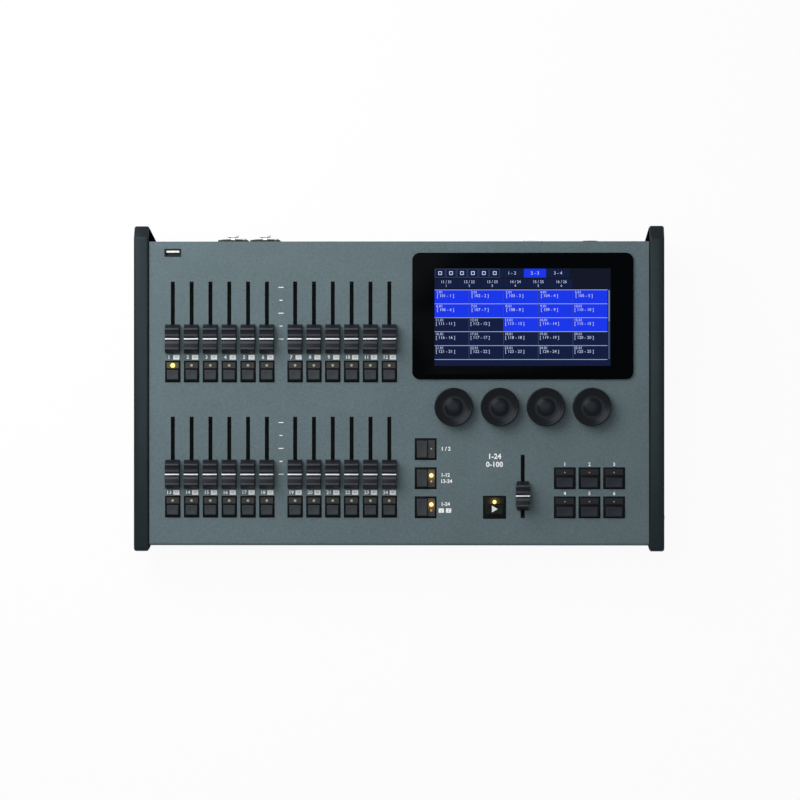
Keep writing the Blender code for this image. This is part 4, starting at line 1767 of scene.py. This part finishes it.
@dataclass
class Encoders:
    """The four dished wheels.

    Attributes:
        radius: Radius of a wheel.
        low: Height of its underside.
        high: Height of its rim.
        ribs: Ribs round the rim.
        groove: Depth of the grooves between the ribs.
        rim_width: Width of the rim band that is painted dark, as painted shade of the gap round the wheel.
        shaft: Radius of the shaft.
        shaft_low: Height of the shaft's lower end.
        plastic: Colour of the wheel.
        rim_tint: Painted shade on the rim, near black.
    """

    shop: Workshop
    layout: DeskLayout
    radius: float = 16.85
    low: float = 1.0
    high: float = 9.5
    ribs: int = 60
    groove: float = 0.4
    rim_width: float = 1.3
    shaft: float = 3.0
    shaft_low: float = -8.0
    plastic: Colour = linear(7, 9, 12)
    # Painted shade: the outer rim is coloured near black for the shadow in the gap round the wheel.
    rim_tint: Colour = linear(3, 3, 4)

    def wheel(self) -> Piece:
        """Models a wheel about its axis.

        Returns:
            The wheel.
        """
        bench = self.shop.bench
        rim = self.radius
        made = bench.turned(
            [
                (0.0, self.low),
                (rim - 0.6, self.low),
                (rim, self.low + 0.6),
                (rim, self.high - 1.2),
                (rim - 0.35, self.high - 0.35),
                (rim - 1.0, self.high),
                (rim - 1.7, self.high - 0.2),
                (rim - 3.2, self.high - 1.4),
                (rim - 5.6, self.high - 2.5),
                (9.3, self.high - 2.95),
                (8.0, self.high - 2.9),
                (7.2, self.high - 2.55),
                (6.5, self.high - 1.95),
                (5.7, self.high - 1.45),
                (4.6, self.high - 1.15),
                (2.6, self.high - 1.0),
                (0.0, self.high - 0.95),
            ],
            self.ribs * 2,
        )
        for vertex in made.data.vertices:
            flat = math.hypot(vertex.co.x, vertex.co.y)
            turn = round(math.atan2(vertex.co.y, vertex.co.x) / math.pi * self.ribs)
            if flat > rim - 0.05 and turn % 2:
                vertex.co.x *= (rim - self.groove) / rim
                vertex.co.y *= (rim - self.groove) / rim
        bench.tint(made, self.plastic)
        # The outer rim is painted near black, as painted shade of the gap round the wheel.
        edge = rim - self.rim_width
        bench.tint_faces(made, self.rim_tint, lambda at, normal: math.hypot(at.x, at.y) > edge)
        shaft = bench.tint(bench.disc(self.shaft, self.shaft_low, self.low + 0.2), self.plastic)
        return bench.smooth(bench.joined([made, shaft]), 40.0)

    def build(self) -> None:
        """Places the wheels."""
        bench = self.shop.bench
        pattern = self.wheel()
        for number, across in enumerate(self.layout.encoders, 1):
            node = f"encoder_{number}"
            wheel = bench.twin(pattern, shift(across, self.layout.encoder_row))
            self.shop.settle(wheel, f"{node}_wheel", Finishes.WHEEL, node, [node])
        bench.drop(pattern)


@dataclass
class Screen:
    """The touchscreen's glass and the page it shows.

    Attributes:
        middle: Middle of the glass.
        size: Width and height of the glass.
        low: Height of the glass's underside.
        high: Height of the glass's face.
        left: Left end of the lit page.
        page_top: Top of the lit page.
        page_width: Width of the lit page.
        page_height: Height of the lit page.
        border: Light of the lines over the rows.
        frame_tone: Light of the frames and of the lines between columns.
        scroll_tone: Light of the scroll bar.
        navy: Light of a plain cell.
        blue: Light of a bright cell.
        white: Light of the figures.
        black: Colour of the page when it gives no light.
        ground: Light of the page behind the cells.
    """

    shop: Workshop
    middle: Point = (107.8, 199.6)
    size: Point = (192.0, 110.0)
    low: float = 0.3
    high: float = 1.9
    left: float = 31.1
    page_top: float = 241.0
    page_width: float = 153.0
    page_height: float = 84.8
    border: Colour = linear(164, 182, 228)
    frame_tone: Colour = linear(66, 82, 120)
    scroll_tone: Colour = linear(110, 126, 170)
    navy: Colour = linear(12, 24, 60)
    blue: Colour = linear(20, 52, 232)
    white: Colour = linear(196, 208, 240)
    black: Colour = linear(5, 7, 12)
    ground: Colour = linear(13, 16, 32)

    def build_glass(self) -> None:
        """Models the glass with rounded corners and edges."""
        bench = self.shop.bench
        glass = bench.block(self.size[0], self.size[1], self.low, self.high, self.middle)
        bench.hold(glass)
        bpy.context.tool_settings.mesh_select_mode = (False, True, False)
        for vertex in glass.data.vertices:
            vertex.select = False
        for polygon in glass.data.polygons:
            polygon.select = False
        for edge in glass.data.edges:
            ends = [glass.data.vertices[index].co for index in edge.vertices]
            edge.select = abs(ends[0].z - ends[1].z) > 1.0
        bpy.ops.object.mode_set(mode="EDIT")
        bpy.ops.mesh.bevel(offset=6.5, segments=10, affect="EDGES")
        bpy.ops.object.mode_set(mode="OBJECT")
        bench.soften(glass, 0.3, 2, 50.0)
        bench.smooth(glass)
        self.shop.settle(glass, "screen_glass", Finishes.GLASS, stands_for=["touchscreen_glass"])

    def cell(
        self, across: float, down: float, wide: float, tall: float, colour: Colour, level: float
    ) -> Piece:
        """Adds one lit cell of the page.

        Args:
            across: Its left end from the page's left end.
            down: Its top from the page's top.
            wide: Its width.
            tall: Its height.
            colour: Its light.
            level: Its height over the glass.

        Returns:
            The cell.
        """
        at = (self.left + across + wide / 2.0, self.page_top - down - tall / 2.0)
        low = self.high + level
        made = self.shop.bench.block(wide, tall, low, low + 0.02, at)
        return self.shop.bench.tint(made, self.black, colour)

    def figures(self, words: str, size: float, across: float, down: float) -> Piece:
        """Adds lit figures to the page.

        Args:
            words: The figures.
            size: Their size.
            across: Their middle from the page's left end.
            down: Their middle from the page's top.

        Returns:
            The figures.
        """
        at = (self.left + across, self.page_top - down)
        made = self.shop.bench.number(words, size, at, self.high + 0.1, 0.02)
        return self.shop.bench.tint(made, self.black, self.white)

    def icons(self) -> list[Piece]:
        """Builds the first row: six plain icons and three buttons.

        Returns:
            The parts of the row.
        """
        parts = []
        for index in range(6):
            left = 0.4 + 9.5 * index
            parts.append(self.cell(left, 0.4, 9.0, 7.6, self.frame_tone, 0.03))
            parts.append(self.cell(left + 0.3, 0.7, 8.4, 7.0, self.navy, 0.05))
            parts.append(self.cell(left + 2.9, 2.5, 3.2, 3.2, self.white, 0.07))
            parts.append(self.cell(left + 3.5, 3.1, 2.0, 2.0, self.navy, 0.09))
        for index in range(3):
            left = 57.6 + 20.0 * index
            parts.append(self.cell(left, 0.4, 19.4, 7.6, self.blue if index == 1 else self.navy, 0.05))
            parts.append(self.figures(f"{index + 1} - {index + 2}", 3.9, left + 9.7, 4.2))
        return parts

    def buttons(self) -> list[Piece]:
        """Builds the second row: six buttons with two lines of figures.

        Returns:
            The parts of the row.
        """
        parts = []
        for index in range(6):
            left = 0.4 + 20.0 * index
            parts.append(self.cell(left, 9.3, 19.6, 7.8, self.navy, 0.05))
            parts.append(self.figures(f"{index + 11} / {index + 21}", 3.4, left + 9.8, 11.8))
            parts.append(self.figures(f"{index + 1}", 3.0, left + 9.8, 15.2))
        return parts

    def grid(self) -> list[Piece]:
        """Builds the grid of numbered cells, with a fine line over each row.

        Returns:
            The parts of the grid.
        """
        parts = []
        for row in range(6):
            parts.append(self.cell(0.2, 18.5 + 12.1 * row, 150.0, 0.45, self.border, 0.07))
        for column in range(1, 5):
            parts.append(self.cell(30.1 * column - 0.3, 18.9, 0.35, 60.0, self.frame_tone, 0.07))
        for row in range(5):
            for column in range(5):
                bright = row < 2 or (row == 2 and column > 1)
                left, top = 0.2 + 30.1 * column, 18.9 + 12.1 * row
                parts.append(self.cell(left, top, 29.6, 11.7, self.blue if bright else self.navy, 0.05))
                number = row * 5 + column + 1
                parts.append(self.figures(f"{number}.01", 3.3, left + 4.2, top + 1.9))
                parts.append(self.figures(f"[ {100 + number} - {number} ]", 3.7, left + 9.4, top + 5.0))
        return parts

    def build_page(self) -> None:
        """Builds the page: two rows of buttons over a grid of numbered cells."""
        parts = [self.cell(0.0, 0.0, self.page_width, self.page_height, self.ground, 0.01)]
        parts += self.icons() + self.buttons() + self.grid()
        parts.append(self.cell(151.0, 18.9, 1.3, 60.0, self.frame_tone, 0.05))
        parts.append(self.cell(151.0, 18.9, 1.3, 27.0, self.scroll_tone, 0.07))
        parts.append(self.cell(0.2, 79.9, 152.6, 4.7, self.navy, 0.05))
        self.shop.settle(self.shop.bench.joined(parts), "screen_page", Finishes.PAGE)

    def build(self) -> None:
        """Builds the glass and the page."""
        self.build_glass()
        self.build_page()


@dataclass
class PanelPrint:
    """The printed numbers, boxes and scale marks of the panel.

    Attributes:
        thick: Thickness of the ink.
        scale_column: Place of the scale marks across the panel.
        scale_pitch: Spacing of the scale marks.
        label_row: Place of the lower row's channel numbers along the panel.
        number_left: How far a channel number is left of its fader.
        box_right: How far the box beside it is right of the fader.
        notes: The other white figures, each with its size and place.
        pages: Places of the two boxes beside the third mode key.
        command_first: Place of the first command key's number.
        command_pitch: Spacing of these numbers across the panel and along it.
        bold: How far white figures are thickened, as a share of their size.
        thin: How far dark figures are thickened, which is less than nothing.
        ink: Colour of the white ink.
        dark: Colour of the figures in the boxes.
    """

    shop: Workshop
    layout: DeskLayout
    thick: float = 0.05
    scale_column: float = -102.5
    scale_pitch: float = 11.25
    label_row: float = 46.1
    number_left: float = 3.4
    box_right: float = 3.0
    notes: tuple[tuple[str, float, Point], ...] = (
        ("1 / 2", 4.6, (41.0, 84.0)),
        ("1-12", 4.4, (40.6, 61.2)),
        ("13-24", 4.4, (41.4, 55.8)),
        ("1-24", 4.4, (40.6, 36.0)),
        ("1-24", 6.4, (83.3, 77.4)),
        ("0-100", 6.4, (83.3, 70.4)),
    )
    pages: tuple[Point, ...] = ((37.0, 30.4), (43.4, 30.4))
    command_first: Point = (144.4, 70.6)
    command_pitch: Point = (21.4, 25.3)
    bold: float = 0.028
    thin: float = -0.012
    ink: Colour = linear(252, 254, 255)
    dark: Colour = linear(128, 136, 140)

    def mark(self, wide: float, tall: float, at: Point) -> Piece:
        """Adds a printed bar.

        Args:
            wide: Its width.
            tall: Its height.
            at: Its middle.

        Returns:
            The bar.
        """
        made = self.shop.bench.block(wide, tall, FILM_LOW, self.thick, at)
        return self.shop.bench.tint(made, self.ink)

    def words(self, text: str, size: float, at: Point, dark: bool = False) -> Piece:
        """Adds printed figures.

        Args:
            text: The figures.
            size: Their size.
            at: Their middle.
            dark: Whether they are dark on a white box.

        Returns:
            The figures.
        """
        low = self.thick + 2.0 * FILM_LOW if dark else FILM_LOW
        made = self.shop.bench.number(text, size, at, low, self.thick, self.thin if dark else self.bold)
        return self.shop.bench.tint(made, self.dark if dark else self.ink)

    def build(self) -> None:
        """Prints the panel."""
        parts = []
        for number, (across, along) in enumerate(self.layout.places(self.label_row), 1):
            box = (across + self.box_right, along)
            parts.append(self.words(str(number), 4.4, (across - self.number_left, along)))
            parts.append(self.mark(5.4, 4.0, box))
            parts.append(self.words(str(number + self.layout.channels), 2.8, box, True))
        for row in (0.0, self.layout.row_pitch):
            for index in range(5):
                wide = 4.4 if index % 2 == 0 else 2.6
                along = self.layout.slot_middle + row + self.scale_pitch * (index - 2)
                parts.append(self.mark(wide, 0.7, (self.scale_column, along)))
        parts += [self.words(*note) for note in self.notes]
        for number, at in enumerate(self.pages, 1):
            parts.append(self.mark(4.6, 3.8, at))
            parts.append(self.words(str(number), 3.4, at, True))
        for number in range(6):
            across = self.command_first[0] + self.command_pitch[0] * (number % 3)
            along = self.command_first[1] - self.command_pitch[1] * (number // 3)
            parts.append(self.words(str(number + 1), 4.2, (across, along)))
        self.shop.settle(self.shop.bench.joined(parts), "panel_print", Finishes.INK)


@dataclass
class SlotLiners:
    """The thin black liners in the faders' slots: partly the dust guards, partly painted shade that keeps
    the slots dark.

    Attributes:
        wide: Width of a liner.
        long: Length of a liner.
        clear: Width and length of its opening.
        master_middle: Middle of the master's slot.
    """

    shop: Workshop
    layout: DeskLayout
    wide: float = 3.4
    long: float = 55.0
    clear: Point = (2.3, 54.0)
    master_middle: Point = (107.8, 51.45)

    def build(self) -> None:
        """Builds the liners, black as the dust guards and as painted shade in the slots."""
        bench = self.shop.bench
        # Black liners stand for the dust guards and paint the shade inside the slots.
        pattern = bench.block(self.wide, self.long, -0.4, 0.07)
        bench.cut(pattern, bench.block(self.clear[0], self.clear[1], -1.0, 1.0))
        places = self.layout.places(self.layout.slot_middle) + [self.master_middle]
        liners = [bench.twin(pattern, shift(*place)) for place in places]
        bench.drop(pattern)
        self.shop.settle(bench.joined(liners), "slot_liners_and_shade", Finishes.LINER)


@dataclass
class KeyOutlines:
    """The thin black frames round the keys: partly the black rubber of the key mats, partly painted shade
    in the gaps round the keys.

    Attributes:
        gap: Gap between a frame and its key.
        reach: How far a frame reaches from its key.
        thick: Height of a frame over the panel.
    """

    shop: Workshop
    layout: DeskLayout
    flash: FlashKeys
    square: SquareKeys
    gap: float = 0.1
    reach: float = 0.55
    thick: float = 0.06

    def around(self, wide: float, long: float, places: Iterable[Point]) -> list[Piece]:
        """Builds the frames round keys of one size.

        Args:
            wide: Width of the keys.
            long: Their length.
            places: Their middles.

        Returns:
            The frames.
        """
        bench = self.shop.bench
        # Each frame is black: the mats' rubber, and painted shade in the gap round the key.
        pattern = bench.block(wide + 2.0 * self.reach, long + 2.0 * self.reach, FILM_LOW, self.thick)
        bench.cut(pattern, bench.block(wide + 2.0 * self.gap, long + 2.0 * self.gap, -1.0, 1.0))
        frames = [bench.twin(pattern, shift(*place)) for place in places]
        bench.drop(pattern)
        return frames

    def build(self) -> None:
        """Builds all the frames as one piece."""
        flash = self.layout.places(self.layout.flash_row)
        square = [(self.square.mode_column, row) for row in self.square.mode_rows]
        square += [(x, y) for x in self.square.command_columns for y in self.square.command_rows]
        frames = self.around(self.flash.width, self.flash.length, flash)
        frames += self.around(self.square.size, self.square.size, square)
        frames += self.around(self.square.go_size, self.square.go_size, [self.square.go_at])
        self.shop.settle(self.shop.bench.joined(frames), "key_outlines", Finishes.LINER)


@dataclass
class MemorySocket:
    """The memory-stick socket in the panel.

    Attributes:
        at: Its middle on the panel.
        wide: Width of its shell.
        tall: Length of its shell along the panel.
    """

    shop: Workshop
    at: Point = (-196.8, 254.8)
    wide: float = 14.2
    tall: float = 6.5

    def build(self) -> None:
        """Builds the shell with its mouth, and the tongue in it."""
        bench = self.shop.bench
        shell = bench.block(self.wide, self.tall, -13.0, -0.1, self.at)
        bench.mouth(shell, self.at, rim=0.6, depth=9.0)
        self.shop.settle(shell, "memory_shell", Finishes.SHELL, stands_for=["usb_socket"])
        tongue = bench.soften(bench.block(11.2, 1.9, -9.6, -0.7, (self.at[0], self.at[1] + 1.0)), 0.2, 1)
        bench.tint(tongue, linear(232, 232, 228))
        self.shop.settle(tongue, "memory_tongue", Finishes.INK)


@dataclass
class RearSockets:
    """The sockets in the rear panel, seen from behind.

    Attributes:
        data_places: Places of the data sockets across the desk.
        data_depth: Their height over the panel, which is below it.
        pin_holes: How many pin holes a data socket has.
        pin_step: Degrees between the holes.
        pin_circle: Radius of the circle they are on.
        network_at: Place of the network socket, across the desk and over the panel.
        power_at: Place of the power inlet, across the desk and over the panel.
    """

    shop: Workshop
    data_places: tuple[float, ...] = (-144.8, -116.8)
    data_depth: float = -22.0
    pin_holes: int = 5
    pin_step: float = 58.0
    pin_circle: float = 5.6
    network_at: Point = (117.0, -18.5)
    power_at: Point = (167.0, -18.5)

    def data_socket(self) -> tuple[Piece, Piece]:
        """Models a round data socket about its axis.

        Returns:
            The black housing, and the metal tab with its screws.
        """
        bench = self.shop.bench
        flange = bench.soften(bench.block(26.0, 31.0, 0.3, 2.2), 0.5, 2)
        bench.cut(flange, bench.disc(10.4, -1.0, 4.0, sides=48))
        ring = bench.turned(
            [
                (0.0, -14.0),
                (11.6, -14.0),
                (11.6, 2.6),
                (11.2, 3.0),
                (9.6, 3.0),
                (9.4, 2.7),
                (9.4, -9.0),
                (0.0, -9.0),
            ]
        )
        insert = bench.disc(8.6, -10.0, -1.0, sides=40)
        for hole in range(self.pin_holes):
            angle = math.radians(90.0 + self.pin_step * (hole - self.pin_holes // 2) + 180.0)
            at = (self.pin_circle * math.cos(angle), self.pin_circle * math.sin(angle))
            bench.cut(insert, bench.disc(1.1, -8.0, 1.0, at, 16))
        housing = bench.smooth(bench.joined([flange, ring, insert]))
        tab = bench.soften(bench.block(9.4, 5.4, 4.3, 6.4, (0.0, 12.4)), 0.6, 2)
        bench.inset(tab, faces_up, 0.9, -0.4)
        stem = bench.soften(bench.block(4.0, 3.6, 1.0, 4.6, (0.0, 12.2)), 0.3, 1)
        heads = []
        for x, y in ((-9.6, 12.0), (9.6, -12.0)):
            head = bench.turned([(0.0, 2.0), (2.4, 2.0), (2.4, 2.6), (1.8, 3.2), (0.0, 3.4)], 24)
            bench.cut(head, bench.block(3.4, 0.6, 2.8, 4.0))
            bench.cut(head, bench.block(0.6, 3.4, 2.8, 4.0))
            head.data.transform(shift(x, y))
            heads.append(head)
        return housing, bench.smooth(bench.joined([tab, stem, *heads]))

    def build_network(self) -> None:
        """Builds the network socket's shell and its contacts."""
        bench = self.shop.bench
        x, y = -self.network_at[0], self.network_at[1]
        shell = bench.block(16.2, 14.0, -14.0, 3.0, (x, y))
        bench.mouth(shell, (x, y), rim=1.6, depth=12.0)
        place = self.shop.seat.rear()
        self.shop.settle(shell, "network_shell", Finishes.METAL, stands_for=["network_socket"], place=place)
        liner = bench.block(12.6, 10.4, -11.6, 2.4, (x, y))
        bench.mouth(liner, (x, y), rim=0.5, depth=13.2)
        self.shop.settle(liner, "network_liner", Finishes.SOCKET, place=place)
        wires = [
            bench.block(0.45, 2.2, -8.8, 0.6, (x + 1.02 * (index - 3.5), y + 3.9)) for index in range(8)
        ]
        self.shop.settle(bench.joined(wires), "network_contacts", Finishes.GOLD, place=place)

    def build_power(self) -> None:
        """Builds the power inlet with its pin."""
        bench = self.shop.bench
        x, y = -self.power_at[0], self.power_at[1]
        inlet = bench.turned(
            [
                (0.0, -12.0),
                (5.6, -12.0),
                (5.6, 0.3),
                (7.0, 0.3),
                (7.0, 1.2),
                (6.5, 1.6),
                (3.2, 1.6),
                (2.9, 1.3),
                (2.9, -9.0),
                (0.0, -9.0),
            ],
            steps=40,
        )
        inlet.data.transform(shift(x, y))
        bench.smooth(inlet)
        place = self.shop.seat.rear()
        self.shop.settle(
            inlet, "power_inlet_body", Finishes.SOCKET, stands_for=["power_inlet"], place=place
        )
        pin = bench.turned([(0.0, -9.2), (1.0, -9.2), (1.0, 0.2), (0.6, 0.7), (0.0, 0.8)], 20)
        pin.data.transform(shift(x, y))
        self.shop.settle(bench.smooth(pin), "power_pin", Finishes.METAL, place=place)

    def build(self) -> None:
        """Builds all the rear sockets."""
        bench = self.shop.bench
        housing, metal = self.data_socket()
        place = self.shop.seat.rear()
        for number, across in enumerate(self.data_places, 1):
            move = shift(-across, self.data_depth)
            name = f"data_socket_{number}"
            self.shop.settle(
                bench.twin(housing, move),
                f"{name}_housing",
                Finishes.SOCKET,
                stands_for=[f"dmx_socket_{number}"],
                place=place,
            )
            self.shop.settle(bench.twin(metal, move), f"{name}_latch", Finishes.METAL, place=place)
        bench.drop(housing)
        bench.drop(metal)
        self.build_network()
        self.build_power()


@dataclass
class Studio:
    """The camera, the lights and the floor.

    Attributes:
        target: The point the camera looks at, on the flat panel.
        distance: The camera's distance along the panel's normal, in millimetres.
        aside: The camera's move to the right.
        lens: Its focal length.
        sensor: Width of its sensor.
        far: The farthest it sees, in metres.
        key_at: Place of the light at the upper left, in metres.
        key_power: Its power in watts.
        key_size: Its width and length in metres.
        box_at: Place of the overhead light.
        box_power: Its power.
        box_size: Its width and length.
        fill: Strength of the world on matt surfaces.
        white: Strength of the background where it shows.
        clean: Share of the floor that shows as background, with its shadow in the rest.
        floor_size: Width of the floor in metres.
        floor_level: Its height in metres, just under the feet.
        floor_tones: The two greys that it drifts between.
    """

    shop: Workshop
    target: Point = (1.1, 126.6)
    distance: float = 3000.0
    aside: float = 55.0
    lens: float = 155.2
    sensor: float = 36.0
    far: float = 20.0
    key_at: tuple[float, float, float] = (-0.5, 0.45, 0.75)
    key_power: float = 10.6
    key_size: Point = (0.9, 0.9)
    box_at: tuple[float, float, float] = (-0.07, -0.12, 1.55)
    box_power: float = 4.0
    box_size: Point = (0.95, 0.5)
    fill: float = 0.18
    white: float = 1.0
    clean: float = 0.94
    floor_size: float = 8.0
    floor_level: float = -0.0004
    floor_tones: Point = (0.8, 0.84)

    def build_camera(self) -> None:
        """Sets the camera square over the panel, a little to the right."""
        top = self.shop.seat.top()
        aim = top @ Vector((self.target[0], self.target[1], 0.0))
        eye = top @ Vector((self.target[0] + self.aside, self.target[1], self.distance))
        up = (top.to_3x3() @ Vector((0.0, 1.0, 0.0))).normalized()
        back = (eye - aim).normalized()
        right = up.cross(back).normalized()
        turn = Matrix((right, back.cross(right), back)).transposed().to_4x4()
        data = bpy.data.cameras.new("camera")
        data.lens = self.lens
        data.sensor_width = self.sensor
        data.clip_end = self.far
        camera = bpy.data.objects.new("camera", data)
        camera.matrix_world = Matrix.Translation(eye) @ turn
        bpy.context.scene.collection.objects.link(camera)
        bpy.context.scene.camera = camera

    def area_light(self, name: str, at: Vector, aim: Vector, power: float, size: Point) -> None:
        """Adds a flat light.

        Args:
            name: Its name.
            at: Its place in metres.
            aim: The point it faces.
            power: Its power in watts.
            size: Its width and length in metres.
        """
        data = bpy.data.lights.new(name, "AREA")
        data.shape = "RECTANGLE"
        data.energy = power
        data.size, data.size_y = size
        light = bpy.data.objects.new(name, data)
        light.location = at
        light.rotation_euler = (aim - at).to_track_quat("-Z", "Y").to_euler()
        bpy.context.scene.collection.objects.link(light)

    def build_lights(self) -> None:
        """Adds a soft light at the upper left and a wide one overhead."""
        key_at, box_at = Vector(self.key_at), Vector(self.box_at)
        self.area_light("key_light", key_at, Vector(), self.key_power, self.key_size)
        below = Vector((box_at.x, box_at.y, 0.0))
        self.area_light("top_light", box_at, below, self.box_power, self.box_size)

    def build_world(self) -> None:
        """Makes a soft pale world that shows as white."""
        graph = Graph(bpy.data.worlds.new("studio"))
        white = opaque(WHITE)
        soft = graph.node("ShaderNodeBackground", None, {"Color": white, "Strength": self.fill})
        bright = graph.node("ShaderNodeBackground", None, {"Color": white, "Strength": self.white})
        mix = graph.node("ShaderNodeMixShader", None, {0: graph.shown(), 1: soft, 2: bright})
        bpy.context.scene.world = graph.ended(mix)

    def build_floor(self) -> None:
        """Lays a pale floor that keeps a soft shadow."""
        self.shop.bench.fresh()
        bpy.ops.mesh.primitive_plane_add(size=self.floor_size, location=(0.0, 0.0, self.floor_level))
        floor = bpy.context.object
        floor.name = "floor"
        graph = Graph(bpy.data.materials.new("floor_pale"))
        white = opaque(WHITE)
        deep, pale = (opaque(WHITE, tone) for tone in self.floor_tones)
        tone = graph.mixed(graph.noise(3.0, 2.0), deep, pale)
        matt = graph.node("ShaderNodeBsdfDiffuse", None, {"Color": tone})
        bright = graph.node("ShaderNodeEmission", None, {"Color": white, "Strength": self.white})
        mix = graph.node("ShaderNodeMixShader", None, {0: graph.shown() * self.clean, 1: matt, 2: bright})
        floor.data.materials.append(graph.ended(mix))

    def build(self) -> None:
        """Builds the studio."""
        self.build_camera()
        self.build_lights()
        self.build_world()
        self.build_floor()
        bpy.context.scene.view_settings.view_transform = "Standard"


def main() -> None:
    """Builds the desk and its studio."""
    logging.basicConfig(level=logging.INFO, format="%(message)s")
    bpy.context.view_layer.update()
    shop = Workshop()
    layout = DeskLayout()
    case = CaseDress(shop)
    case.dress()
    case.build()
    Cheeks(shop).build()
    FaderCaps(shop, layout).build()
    flash = FlashKeys(shop, layout)
    flash.build()
    square = SquareKeys(shop)
    square.build()
    KeyOutlines(shop, layout, flash, square).build()
    Encoders(shop, layout).build()
    Screen(shop).build()
    PanelPrint(shop, layout).build()
    SlotLiners(shop, layout).build()
    MemorySocket(shop).build()
    RearSockets(shop).build()
    Studio(shop).build()


if __name__ == "__main__":
    main()
